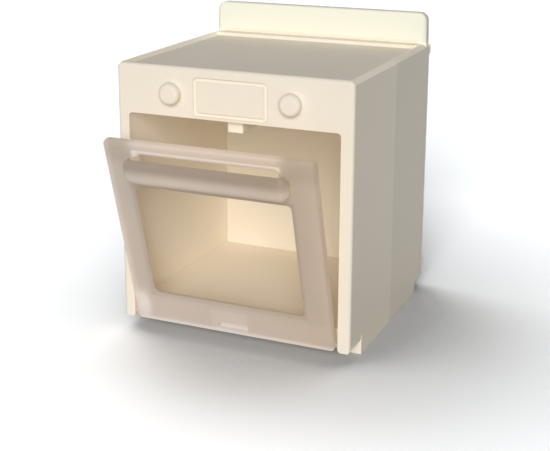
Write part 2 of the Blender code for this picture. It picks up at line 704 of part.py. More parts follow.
def base_screws():
    """Four screws that come up through the base plate."""
    names = ("front_left", "front_right", "rear_left", "rear_right")
    items = []
    for name, (x, y) in zip(names, base_screw_places()):
        item = screw("base_screw_" + name)
        item.location = (x, y, BASE_UNDERSIDE - SEAT_GAP)
        items.append(item)
    return items


def cover_screws():
    """Two screws that enter the rear cover from behind."""
    items = []
    for name, side in (("left", -1), ("right", 1)):
        item = screw("cover_screw_" + name)
        item.rotation_euler = (math.pi / 2, 0, 0)
        item.location = (side * BOSS_PLACE, COVER_FACE + SEAT_GAP, BOSS_HEIGHT)
        items.append(item)
    return items


def ear_sizes():
    """Heights of each ear's tab and post, and its thickness, upper ear first."""
    post_top = CORE_TOP - SEAT_GAP - EAR_INSET
    upper = (post_top - EMBED, TOP_HEIGHT - UPPER_EAR_DROP, post_top - EAR_ROOT, post_top,
             UPPER_EAR_THICKNESS)
    top = LOWER_EAR_HEIGHT + LOWER_EAR_TALL
    lower = (LOWER_EAR_HEIGHT, top, LOWER_EAR_HEIGHT + EAR_INSET, top - EAR_INSET, LOWER_EAR_THICKNESS)
    return upper, lower


def cover_ears():
    """Four corner ears: posts that leave the plate, and tabs that lie over the housing's rear edge."""
    posts, tabs = bmesh.new(), bmesh.new()
    root_out = CORE_HALF_WIDTH - SEAT_GAP - EAR_INSET
    root_in = root_out - EAR_WIDTH
    near = BODY_DEPTH + SEAT_GAP
    for tab_low, tab_high, post_low, post_high, thickness in ear_sizes():
        for side in (-1, 1):
            low, high = sorted((side * (root_in + EAR_INSET), side * REAR_WIDTH / 2))
            block((low, near, tab_low), (high, near + thickness, tab_high), tabs)
            low, high = sorted((side * root_in, side * root_out))
            block((low, COVER_FACE - EMBED, post_low), (high, near + thickness / 2, post_high), posts)
    return tool("ear_posts", posts), tool("ear_tabs", tabs)


def rear_cover():
    """Inset plate that closes the rear, with four ears that rest on the housing's edge."""
    half = CORE_HALF_WIDTH - SEAT_GAP
    points = outline(half, CORE_FLOOR + SEAT_GAP, CORE_TOP - SEAT_GAP, COVER_CORNER)
    cover = put_in_scene("rear_cover", loft([along_y(points, COVER_BACK), along_y(points, COVER_FACE)]))
    holes = bmesh.new()
    for x in (-BOSS_PLACE, BOSS_PLACE):
        rod((x, COVER_BACK - OVERRUN, BOSS_HEIGHT), (0, 1, 0), SCREW_HOLE_RADIUS,
            COVER_THICKNESS + 2 * OVERRUN, PIN_SIDES, holes)
    return cut(join(cover, *cover_ears()), tool("cover_holes", holes))


def opening_cutter(half_width, bottom, top, corner, start, face, end, flare, level_foot=False):
    """Rounded-rectangle cutter with a rounded rim where it meets a face; the rim may spare the foot."""
    sections = [(start, flare)] + [(face + along, spread) for spread, along in round_steps(flare)]
    sections.append((end, 0.0))
    rings = []
    for place, spread in sections:
        low = bottom if level_foot else bottom - spread
        points = outline(half_width + spread, low, top + spread, corner + spread)
        rings.append(along_y(points, place))
    return loft(rings)


def padded(low, high, corner, edge_round, outer_place):
    """Block with rounded corners and a rounded rim on its face at the outer place."""
    shape = block(low, high)
    round_edges(shape, corner, ROUND_STEPS, lambda edge: runs_along(edge, 1))
    return round_edges(shape, edge_round, ROUND_STEPS, lambda edge: lies_at(edge, 1, outer_place))


def door_slab():
    """Frosted door plate in its closed place, with soft corners and edges."""
    foot = STILE_END_HEIGHT
    shape = block((-DOOR_WIDTH / 2, 0, foot), (DOOR_WIDTH / 2, DOOR_THICKNESS, foot + DOOR_LENGTH))
    round_edges(shape, DOOR_CORNER, ROUND_STEPS, lambda edge: runs_along(edge, 1))
    return round_edges(shape, DOOR_EDGE_ROUND, SMALL_ROUND_STEPS,
                       lambda edge: lies_at(edge, 1, 0) or lies_at(edge, 1, DOOR_THICKNESS))


def door_pads():
    """Three thick pads low on the door's inner face, for the snap slot and the trunnions."""
    foot = STILE_END_HEIGHT
    near, far = DOOR_THICKNESS - EMBED, DOOR_THICKNESS + DOOR_PAD_THICKNESS
    low = foot + DOOR_EDGE_ROUND
    side = DOOR_WIDTH / 2 - DOOR_EDGE_ROUND
    spans = [(-MIDDLE_PAD_WIDTH / 2, MIDDLE_PAD_WIDTH / 2, MIDDLE_PAD_TOP),
             (-side, CORNER_PAD_WIDTH - side, CORNER_PAD_TOP),
             (side - CORNER_PAD_WIDTH, side, CORNER_PAD_TOP)]
    return [tool("door_pad", padded((left, near, low), (right, far, foot + top), DOOR_PAD_CORNER,
                                    DOOR_EDGE_ROUND / 2, far)) for left, right, top in spans]


def door(hinge):
    """Frosted door with its window, finger slot, handle bar, pads and trunnions."""
    foot = STILE_END_HEIGHT
    item = put_in_scene("door", door_slab())
    handle = padded((-HANDLE_WIDTH / 2, -HANDLE_REACH, foot + HANDLE_BOTTOM),
                    (HANDLE_WIDTH / 2, EMBED, foot + HANDLE_TOP), HANDLE_CORNER, HANDLE_ROUND, -HANDLE_REACH)
    window = opening_cutter(WINDOW_WIDTH / 2, foot + WINDOW_BOTTOM, foot + WINDOW_TOP, WINDOW_CORNER,
                            -OVERRUN, 0.0, DOOR_THICKNESS + OVERRUN, WINDOW_EDGE_ROUND)
    finger_slot = opening_cutter(FINGER_SLOT_WIDTH / 2, foot + FINGER_SLOT_BOTTOM, foot + FINGER_SLOT_TOP,
                                 FINGER_SLOT_CORNER, HANDLE_WALL - HANDLE_REACH, 0.0,
                                 DOOR_THICKNESS + OVERRUN, FINGER_SLOT_EDGE_ROUND, level_foot=True)
    far = DOOR_THICKNESS + DOOR_PAD_THICKNESS + OVERRUN
    snap_slot = block((-SNAP_SLOT_WIDTH / 2, -OVERRUN, foot + SNAP_SLOT_BOTTOM),
                      (SNAP_SLOT_WIDTH / 2, far, foot + SNAP_SLOT_TOP))
    trunnions = []
    for side in (-1, 1):
        start = DOOR_WIDTH / 2 - OVERRUN
        length = MOUTH_HALF_WIDTH + TRUNNION_REACH - start
        pin = rod((side * start, HINGE_PLACE, HINGE_HEIGHT), (side, 0, 0), TRUNNION_RADIUS, length)
        trunnions.append(tool("trunnion", pin))
    joined = [tool("handle_bar", handle)] + door_pads() + trunnions
    openings = [tool("door_window", window), tool("finger_slot", finger_slot), tool("snap_slot", snap_slot)]
    cut(join(item, *joined), *openings)
    for piece in [item] + joined + openings:
        piece.parent = hinge
        piece.location = (0, -HINGE_PLACE, -HINGE_HEIGHT)
    return item


def door_catch():
    """Stop block under the mouth's upper edge, with a peg up through the cavity's ceiling."""
    half = CATCH_WIDTH / 2
    shape = block((-half, CATCH_PLACE, CATCH_BOTTOM), (half, CATCH_PLACE + CATCH_DEPTH, CATCH_TOP))
    round_edges(shape, CATCH_EDGE_ROUND, SMALL_ROUND_STEPS, lambda edge: not lies_at(edge, 2, CATCH_TOP))
    middle = CATCH_PLACE + CATCH_DEPTH / 2
    peg = block((-CATCH_PEG_WIDTH / 2, middle - CATCH_PEG_DEPTH / 2, CATCH_TOP - EMBED),
                (CATCH_PEG_WIDTH / 2, middle + CATCH_PEG_DEPTH / 2, CEILING_TOP + CATCH_PEG_REACH))
    return join(put_in_scene("door_catch", shape), tool("catch_peg", peg))


def knob(name, side):
    """Round knob with a stem through the front panel, turning about its own axis."""
    stem_end = PANEL_WALL + SEAT_GAP + CLIP_THICKNESS + STEM_REACH
    profile = [(KNOB_STEM_RADIUS, -stem_end), (KNOB_STEM_RADIUS, KNOB_LIFT), (KNOB_RADIUS, KNOB_LIFT)]
    rim = [(KNOB_RADIUS - inward, KNOB_REACH - along)
           for along, inward in round_steps(KNOB_EDGE_ROUND)]
    item = put_in_scene(name, turned(profile + rim))
    item.rotation_euler = (math.pi / 2, 0, 0)
    item.location = (side * KNOB_PLACE, 0, KNOB_HEIGHT)
    return item


def knob_clip(name, carrier):
    """Split ring pushed onto a knob's stem behind the front panel."""
    start = -PANEL_WALL - SEAT_GAP - CLIP_THICKNESS
    item = put_in_scene(name, rod((0, 0, start), (0, 0, 1), CLIP_RADIUS, CLIP_THICKNESS))
    bore = rod((0, 0, start - OVERRUN), (0, 0, 1), KNOB_STEM_RADIUS + RUNNING_GAP,
               CLIP_THICKNESS + 2 * OVERRUN)
    half = KNOB_STEM_RADIUS / 2
    split = block((-half, 0, start - OVERRUN),
                  (half, CLIP_RADIUS + OVERRUN, start + CLIP_THICKNESS + OVERRUN))
    tools = [tool(name + "_bore", bore), tool(name + "_split", split)]
    for piece in [item] + tools:
        piece.parent = carrier
    return cut(item, *tools)


def display_panel():
    """Blank display with a raised bead, pressed into its pocket with two pegs."""
    middle = (DISPLAY_BOTTOM + DISPLAY_TOP) / 2
    half = DISPLAY_WIDTH / 2
    front = -DISPLAY_BEAD_PROUD
    shape = padded((-half, front, DISPLAY_BOTTOM), (half, DISPLAY_PLATE_THICKNESS, DISPLAY_TOP),
                   DISPLAY_CORNER, DISPLAY_BEAD_PROUD / 2, front)
    item = put_in_scene("display_panel", shape)
    inner_corner = DISPLAY_CORNER - DISPLAY_BEAD / 2
    well = opening_cutter(half - DISPLAY_BEAD, DISPLAY_BOTTOM + DISPLAY_BEAD, DISPLAY_TOP - DISPLAY_BEAD,
                          inner_corner, front - OVERRUN, front, 0.0, DISPLAY_BEAD_PROUD / 2)
    pegs = bmesh.new()
    for x in (-DISPLAY_PEG_PLACE, DISPLAY_PEG_PLACE):
        rod((x, DISPLAY_PLATE_THICKNESS - EMBED, middle), (0, 1, 0), DISPLAY_PEG_RADIUS,
            PANEL_WALL + DISPLAY_PEG_REACH + EMBED - DISPLAY_PLATE_THICKNESS, PIN_SIDES, pegs)
    return cut(join(item, tool("display_pegs", pegs)), tool("display_well", well))


def resting_middle():
    """Middle of the oven's depth with the door ajar: foremost handle point to rearmost ear."""
    along = HANDLE_TOP - HANDLE_ROUND - HINGE_RISE
    out = HINGE_PLACE + HANDLE_REACH - HANDLE_ROUND
    front = HINGE_PLACE - along * math.sin(REST_TILT) - out * math.cos(REST_TILT) - HANDLE_ROUND
    rear = BODY_DEPTH + SEAT_GAP + LOWER_EAR_THICKNESS
    return (front + rear) / 2


def empty(name, location=(0, 0, 0)):
    """Place an empty that carries other objects."""
    item = bpy.data.objects.new(name, None)
    item.location = location
    bpy.context.scene.collection.objects.link(item)
    return item


def finish(item, colour, roughness, metallic=0.0):
    """Give a piece its own material and smooth its round faces."""
    item.data.materials.append(plastic(item.name + "_finish", colour, roughness, metallic))
    item.data.shade_smooth()
    item.data.set_sharp_from_angle(angle=SMOOTH_ANGLE)


def build_oven():
    """Build every piece, colour it and set the whole oven over the origin."""
    clear_scene()
    hinge = empty("door_hinge", (0, HINGE_PLACE, HINGE_HEIGHT))
    hinge.rotation_euler.x = REST_TILT
    knobs = [knob("knob_left", -1), knob("knob_right", 1)]
    clips = [knob_clip(item.name.replace("knob", "knob_clip"), item) for item in knobs]
    moulded = [body_housing(), oven_floor(), base_plate(), rear_cover(), door_catch(), display_panel()]
    for item in moulded + knobs:
        finish(item, CREAM, CREAM_ROUGHNESS)
    finish(door(hinge), FROSTED, FROSTED_ROUGHNESS)
    for item in clips:
        finish(item, CLIP_WHITE, CLIP_ROUGHNESS)
    for item in base_screws() + cover_screws():
        finish(item, STEEL, STEEL_ROUGHNESS, STEEL_METALLIC)
    oven = empty("toy_oven")
    for item in bpy.data.objects:
        if item.parent is None and item is not oven:
            item.parent = oven
    oven.location.y = -resting_middle()


build_oven()
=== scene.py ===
"""Looks of a toy oven for a doll's house: its fine moulded surfaces, their finishes and a plain studio.

Lengths are metres and +Z is up.  x runs to the right from the middle of the oven, y runs from its front
face to its back, and z rises from the ground.  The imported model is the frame, and every piece here
stands where the node that it replaces lies.
"""
import json
import logging
import math
from contextlib import contextmanager
from dataclasses import dataclass, field
from enum import Enum
from typing import Callable, Dict, Iterator, List, Optional, Sequence, Tuple, Union

import bmesh
import bpy
from mathutils import Euler, Matrix, Vector


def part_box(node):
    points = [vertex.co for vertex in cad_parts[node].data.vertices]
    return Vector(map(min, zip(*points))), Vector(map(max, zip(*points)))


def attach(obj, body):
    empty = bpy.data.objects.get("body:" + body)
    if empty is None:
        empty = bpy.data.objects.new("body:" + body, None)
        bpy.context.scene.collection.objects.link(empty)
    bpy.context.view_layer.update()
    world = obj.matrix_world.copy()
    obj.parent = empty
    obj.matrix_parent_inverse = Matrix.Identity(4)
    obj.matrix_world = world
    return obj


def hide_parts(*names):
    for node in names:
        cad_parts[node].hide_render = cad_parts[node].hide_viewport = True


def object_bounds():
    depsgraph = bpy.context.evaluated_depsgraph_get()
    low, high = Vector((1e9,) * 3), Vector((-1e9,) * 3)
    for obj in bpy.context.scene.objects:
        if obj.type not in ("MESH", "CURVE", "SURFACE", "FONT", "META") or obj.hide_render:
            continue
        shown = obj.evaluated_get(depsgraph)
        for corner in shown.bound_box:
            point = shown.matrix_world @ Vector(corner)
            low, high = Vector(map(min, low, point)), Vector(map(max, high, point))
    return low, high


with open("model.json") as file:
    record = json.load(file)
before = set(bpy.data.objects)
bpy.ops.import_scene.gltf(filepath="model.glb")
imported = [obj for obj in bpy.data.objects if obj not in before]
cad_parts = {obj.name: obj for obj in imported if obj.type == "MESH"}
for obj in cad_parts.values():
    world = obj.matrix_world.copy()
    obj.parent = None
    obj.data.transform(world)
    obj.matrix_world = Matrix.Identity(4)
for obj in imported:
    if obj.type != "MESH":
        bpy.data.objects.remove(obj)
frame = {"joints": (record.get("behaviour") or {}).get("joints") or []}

LOG = logging.getLogger("toy_oven")
CAD_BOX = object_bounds()
HINGE = next(joint for joint in frame["joints"] if joint["name"] == "door_hinge")
HINGE_DEPTH = 0.0012
FRONT = HINGE["pos_m"][1] - HINGE_DEPTH
REST_TILT = math.radians(-HINGE["range_deg"][0])

Colour = Tuple[float, float, float]
EdgeTest = Callable[[Vector, Vector], bool]
Item = bpy.types.Object
Finish = bpy.types.Material
Number = Union[float, "Signal"]
Span = Tuple[float, float]
Triple = Tuple[float, float, float]
Ring = Tuple[float, float, float, float, float]
Ramp = Tuple[str, float, float]

NEAR = 2e-6         # points closer than this are one
OVERRUN = 0.0010    # how far a cutter reaches past what it cuts
EMBED = 0.0004      # how far a joined part reaches into its neighbour
SEAT = 0.0003       # room between pieces that are fixed to each other
RUNNING = 0.00005   # room round a turning pin
BORE_SIDES = 32     # sides of a small hole or pin
BOSS_SIDES = 40
FINE_STEPS = 8      # flats in a quarter circle that is drawn point by point
CREAM: Colour = (0.95, 0.86, 0.72)
NATURAL: Colour = (0.80, 0.80, 0.78)
WHITE = (1.0, 1.0, 1.0, 1.0)
SIDES = (-1, 1)
BACK, AHEAD, UPWARD = Vector((0, 1, 0)), Vector((0, -1, 0)), Vector((0, 0, 1))
SEEN_RAYS = ("Is Camera Ray", "Is Glossy Ray", "Is Transmission Ray")


class Axis(Enum):
    """The three directions of the oven."""

    ACROSS = 0
    DEEP = 1
    UP = 2


class Body(Enum):
    """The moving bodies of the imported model."""

    OVEN = "oven_body"
    DOOR = "oven_door"
    LEFT_KNOB = "left_knob"
    RIGHT_KNOB = "right_knob"


class Slot(Enum):
    """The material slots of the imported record."""

    CREAM = "cream_plastic"
    FROSTED = "frosted_plastic"
    NYLON = "clip_nylon"
    STEEL = "screw_steel"


def at(x: float, y: float, z: float) -> Vector:
    """A point given from the middle of the front face at the ground."""
    return Vector((x, FRONT + y, z))


def pair(x: float, y: float, z: float) -> List[Vector]:
    """The same point at the left and at the right, given as at() takes it."""
    return [at(side * x, y, z) for side in SIDES]


def quarter(steps: int) -> List[Span]:
    """Points along a quarter circle: 1 less the cosine, and the sine, of each step's angle."""
    turns = [step / steps * math.pi / 2 for step in range(steps + 1)]
    return [(1 - math.cos(turn), math.sin(turn)) for turn in turns]


def runs(axis: Axis) -> EdgeTest:
    """Test for an edge that runs mainly along one axis."""
    return lambda a, b: max(range(3), key=lambda i: abs((b - a)[i])) == axis.value


def lies(axis: Axis, value: float) -> EdgeTest:
    """Test for an edge or vertex that lies wholly at one place along an axis."""
    return lambda a, b: abs(a[axis.value] - value) < NEAR and abs(b[axis.value] - value) < NEAR


def behind(place: float) -> EdgeTest:
    """Test for an edge or vertex at one distance behind the front face."""
    return lies(Axis.DEEP, FRONT + place)


def level(height: float) -> EdgeTest:
    """Test for an edge or vertex at one height."""
    return lies(Axis.UP, height)


def anything(first: Vector, second: Vector) -> bool:
    """Test that every element passes."""
    return True


def inside(low: Vector, high: Vector) -> EdgeTest:
    """Test for an edge whose both ends are in a box."""
    def test(a: Vector, b: Vector) -> bool:
        """True when both ends are in the box."""
        return all(low[i] - NEAR <= end[i] <= high[i] + NEAR for end in (a, b) for i in range(3))
    return test


def both(*tests: EdgeTest) -> EdgeTest:
    """Test that is true when all of the given tests are."""
    return lambda a, b: all(test(a, b) for test in tests)


def either(*tests: EdgeTest) -> EdgeTest:
    """Test that is true when any of the given tests is."""
    return lambda a, b: any(test(a, b) for test in tests)


def unless(test: EdgeTest) -> EdgeTest:
    """Test that is true when the given one is not."""
    return lambda a, b: not test(a, b)


class Bench:
    """Models pieces with Blender's own operators, one piece at a time."""

    @staticmethod
    def deselect() -> None:
        """Let nothing be selected."""
        bpy.ops.object.select_all(action="DESELECT")

    @classmethod
    def pick(cls, item: Item) -> None:
        """Select one object and make it the active one.

        Args:
            item: The object to work on.
        """
        cls.deselect()
        item.select_set(True)
        bpy.context.view_layer.objects.active = item

    @classmethod
    def settle(cls, item: Item) -> None:
        """Move an object's place, turn and scale into its mesh."""
        cls.pick(item)
        bpy.ops.object.transform_apply(location=True, rotation=True, scale=True)

    @classmethod
    def added(cls, name: str, scale: Sequence[float] = (1, 1, 1)) -> Item:
        """Name, scale and settle the object that an operator has just added."""
        item = bpy.context.object
        item.name, item.scale = name, scale
        cls.settle(item)
        return item

    @classmethod
    def aim(cls, item: Item, start: Vector, direction: Vector) -> None:
        """Stand an object, made along the upward axis, at a point and along a direction."""
        item.matrix_world = Matrix.Translation(start) @ direction.to_track_quat("Z", "Y").to_matrix().to_4x4()
        cls.settle(item)

    @classmethod
    def block(cls, name: str, low: Vector, high: Vector) -> Item:
        """Add a box between two corners.

        Args:
            name: Name of the new object.
            low: Lowest corner.
            high: Highest corner.

        Returns:
            The new object.
        """
        bpy.ops.mesh.primitive_cube_add(size=1, location=(low + high) / 2)
        return cls.added(name, high - low)

    @classmethod
    def flank(cls, name: str, side: int, low: Triple, high: Triple) -> Item:
        """Add a box at one side, whose corners are given by their distance from the oven's middle.

        Args:
            name: Name of the new object.
            side: -1 for the left and 1 for the right.
            low: Its inner, front and lowest place.
            high: Its outer, rear and highest place.

        Returns:
            The new object.
        """
        left, right = sorted((side * low[0], side * high[0]))
        return cls.block(name, at(left, *low[1:]), at(right, *high[1:]))

    @classmethod
    def rod(cls, name: str, start: Vector, direction: Vector, radius: float, length: float,
            sides: int = 48, tip: Optional[float] = None) -> Item:
        """Add a closed cylinder or cone.

        Args:
            name: Name of the new object.
            start: Centre of its first end.
            direction: Unit vector along its axis.
            radius: Radius at the first end.
            length: Length along the axis.
            sides: Number of sides.
            tip: Radius at the far end, where it differs.

        Returns:
            The new object.
        """
        bpy.ops.mesh.primitive_cone_add(
            vertices=sides, radius1=radius, radius2=radius if tip is None else tip, depth=length,
            location=start + direction * length / 2, rotation=direction.to_track_quat("Z", "Y").to_euler())
        return cls.added(name)

    @classmethod
    def rods(cls, name: str, starts: Sequence[Vector], direction: Vector, radius: float, length: float,
             sides: int = BORE_SIDES) -> List[Item]:
        """Add equal cylinders that start at several points."""
        return [cls.rod(name, start, direction, radius, length, sides) for start in starts]

    @classmethod
    def outline(cls, place: float, half: float, low: float, high: float, corner: float) -> Item:
        """Wire of a rounded rectangle that stands at a distance behind the front face."""
        bpy.ops.mesh.primitive_plane_add(size=1, location=at(0, place, (low + high) / 2),
                                         rotation=(math.pi / 2, 0, 0))
        item = cls.added("outline", (2 * half, high - low, 1))
        with cls.edit(item, anything, "VERT"):
            bpy.ops.mesh.bevel(offset=corner, offset_type="OFFSET", segments=FINE_STEPS, profile=0.5,
                               affect="VERTICES")
            bpy.ops.mesh.select_all(action="SELECT")
            bpy.ops.mesh.delete(type="ONLY_FACE")
        return item

    @classmethod
    def loft(cls, name: str, rings: Sequence[Ring]) -> Item:
        """Close a solid through rounded rectangles that stand one behind the other.

        Args:
            name: Name of the new object.
            rings: Distance behind the front face, half-width, lowest and highest place, and corner radius.

        Returns:
            The new object.
        """
        wires = [cls.outline(*ring) for ring in rings]
        cls.deselect()
        for wire in wires:
            wire.select_set(True)
        item = wires[0]
        bpy.context.view_layer.objects.active = item
        bpy.ops.object.join()
        item.name = name
        with cls.edit(item, anything):
            bpy.ops.mesh.bridge_edge_loops()
            bpy.ops.mesh.select_all(action="SELECT")
            bpy.ops.mesh.fill_holes(sides=0)
            cls.face_out()
        return item

    @classmethod
    def turned(cls, name: str, start: Vector, direction: Vector, profile: Sequence[Span],
               sides: int = 96) -> Item:
        """Add a solid of revolution.

        Args:
            name: Name of the new object.
            start: Point on its axis from which its heights are measured.
            direction: Unit vector along its axis.
            profile: Radius and height of each ring, in order.
            sides: Number of sides.

        Returns:
            The new object.
        """
        radius, height = profile[0]
        bpy.ops.mesh.primitive_circle_add(vertices=sides, radius=radius, fill_type="NGON",
                                          location=(0, 0, height))
        item = cls.added(name)
        with cls.edit(item, anything, "FACE"):
            for wider, higher in profile[1:]:
                bpy.ops.mesh.extrude_region_move(TRANSFORM_OT_translate={"value": (0, 0, higher - height)})
                share = wider / radius
                bpy.ops.transform.resize(value=(share, share, 1), center_override=(0, 0, higher))
                radius, height = wider, higher
            cls.face_out()
        cls.aim(item, start, direction)
        return item

    @staticmethod
    def face_out() -> None:
        """Turn every face of the open mesh outwards."""
        bpy.ops.mesh.select_all(action="SELECT")
        bpy.ops.mesh.normals_make_consistent(inside=False)

    @classmethod
    @contextmanager
    def edit(cls, item: Item, test: EdgeTest, kind: str = "EDGE") -> Iterator[int]:
        """Open an object in edit mode with chosen edges, vertices or faces selected.

        Args:
            item: The object to edit.
            test: Test of an element's lowest and highest end; of a face, its middle and its normal.
            kind: EDGE, VERT or FACE.

        Yields:
            The number of elements selected.
        """
        cls.pick(item)
        bpy.ops.object.mode_set(mode="EDIT")
        bpy.ops.mesh.select_mode(type=kind)
        bpy.ops.mesh.select_all(action="DESELECT")
        mesh = bmesh.from_edit_mesh(item.data)
        ends = {
            "EDGE": lambda: ((edge, edge.verts[0].co, edge.verts[1].co) for edge in mesh.edges),
            "VERT": lambda: ((vert, vert.co, vert.co) for vert in mesh.verts),
            "FACE": lambda: ((face, face.calc_center_median(), face.normal) for face in mesh.faces),
        }[kind]()
        chosen = [element for element, first, second in ends if test(first, second)]
        for element in chosen:
            element.select_set(True)
        mesh.select_flush_mode()
        bmesh.update_edit_mesh(item.data)
        yield len(chosen)
        bpy.ops.object.mode_set(mode="OBJECT")

    @classmethod
    def fillet(cls, item: Item, test: EdgeTest, radius: float, steps: int = 6) -> Item:
        """Round the chosen edges.

        Args:
            item: The object to change.
            test: Which edges.
            radius: Radius of the round.
            steps: Number of flats across the round.

        Returns:
            The same object.
        """
        with cls.edit(item, test) as count:
            if count:
                bpy.ops.mesh.bevel(offset=radius, offset_type="OFFSET", segments=steps, profile=0.5,
                                   affect="EDGES", clamp_overlap=True)
            else:
                LOG.warning("no edge of %s was chosen for a fillet", item.name)
        return item

    @classmethod
    def widen(cls, item: Item, test: EdgeTest, share: float) -> Item:
        """Widen the chosen vertices about the oven's middle, to a share of their width."""
        with cls.edit(item, test, "VERT"):
            bpy.ops.transform.resize(value=(share, 1, 1), center_override=at(0, 0, 0))
        return item

    @classmethod
    def shift(cls, item: Item, test: EdgeTest, move: Vector) -> Item:
        """Move the chosen vertices by a vector."""
        with cls.edit(item, test, "VERT"):
            bpy.ops.transform.translate(value=move)
        return item

    @classmethod
    def move(cls, item: Item, across: float) -> Item:
        """Move a whole object sideways and settle it there."""
        item.location.x += across
        cls.settle(item)
        return item

    @classmethod
    def halve(cls, item: Item, point: Vector, normal: Vector) -> Item:
        """Cut new edges into an object along a plane."""
        with cls.edit(item, anything):
            bpy.ops.mesh.bisect(plane_co=point, plane_no=normal)
        return item

    @classmethod
    def combine(cls, item: Item, operation: str, tools: Sequence[Item]) -> Item:
        """Apply a Boolean with each tool in turn and remove the tools.

        Args:
            item: The object to change.
            operation: UNION or DIFFERENCE.
            tools: The objects to join or cut with.

        Returns:
            The same object.
        """
        for tool in tools:
            cls.modify(item, "BOOLEAN", operation=operation, solver="EXACT", object=tool)
            bpy.data.objects.remove(tool, do_unlink=True)
        return item

    @classmethod
    def modify(cls, item: Item, kind: str, **settings: object) -> Item:
        """Give an object one modifier and apply it.

        Args:
            item: The object to change.
            kind: The modifier's type.
            settings: The modifier's settings.

        Returns:
            The same object.
        """
        cls.pick(item)
        step = item.modifiers.new(kind.lower(), kind)
        for key, value in settings.items():
            setattr(step, key, value)
        bpy.ops.object.modifier_apply(modifier=step.name)
        return item

    @classmethod
    def cut(cls, item: Item, *tools: Item) -> Item:
        """Cut each tool out of an object."""
        return cls.combine(item, "DIFFERENCE", tools)

    @classmethod
    def join(cls, item: Item, *tools: Item) -> Item:
        """Join each tool to an object as one body."""
        return cls.combine(item, "UNION", tools)

    @classmethod
    def smooth(cls, item: Item, angle: float = math.radians(40)) -> Item:
        """Merge doubles, shade round faces smooth and keep the flat ones flat.

        Args:
            item: The object to finish.
            angle: Sharpest edge that is still shaded smooth.

        Returns:
            The same object.
        """
        with cls.edit(item, anything, "VERT"):
            bpy.ops.mesh.remove_doubles(threshold=NEAR)
        bpy.ops.object.shade_smooth_by_angle(angle=angle)
        return cls.modify(item, "WEIGHTED_NORMAL", keep_sharp=True, mode="FACE_AREA")


class Signal:
    """A socket of a shader's node tree on which plain arithmetic works."""

    def __init__(self, graph: "Graph", socket: bpy.types.NodeSocket) -> None:
        """Wrap one output socket of a graph."""
        self.graph = graph
        self.socket = socket

    def _math(self, operation: str, first: Number, second: Number) -> "Signal":
        """Add a Math node on two values or signals."""
        return self.graph.node("ShaderNodeMath", {"operation": operation}, {0: first, 1: second})

    def __add__(self, other: Number) -> "Signal":
        """Sum."""
        return self._math("ADD", self, other)

    def __sub__(self, other: Number) -> "Signal":
        """Difference."""
        return self._math("SUBTRACT", self, other)

    def __rsub__(self, other: Number) -> "Signal":
        """Difference, the other way round."""
        return self._math("SUBTRACT", other, self)

    def __mul__(self, other: Number) -> "Signal":
        """Product."""
        return self._math("MULTIPLY", self, other)

    def __abs__(self) -> "Signal":
        """Distance from zero."""
        return self.graph.node("ShaderNodeMath", {"operation": "ABSOLUTE"}, {0: self})

    def most(self, other: Number) -> "Signal":
        """The larger of two."""
        return self._math("MAXIMUM", self, other)

    def least(self, other: Number) -> "Signal":
        """The smaller of two."""
        return self._math("MINIMUM", self, other)

    def power(self, other: Number) -> "Signal":
        """The value raised to a power."""
        return self._math("POWER", self, other)

    def ramp(self, start: float, end: float) -> "Signal":
        """Rise smoothly from 0 at the start to 1 at the end, or fall where the start is the larger."""
        settings = {"interpolation_type": "SMOOTHSTEP", "clamp": True}
        low, high, first, last = (start, end, 0.0, 1.0) if start < end else (end, start, 1.0, 0.0)
        limits = {"From Min": low, "From Max": high, "To Min": first, "To Max": last}
        return self.graph.node("ShaderNodeMapRange", settings, {"Value": self, **limits})

    __radd__ = __add__
    __rmul__ = __mul__


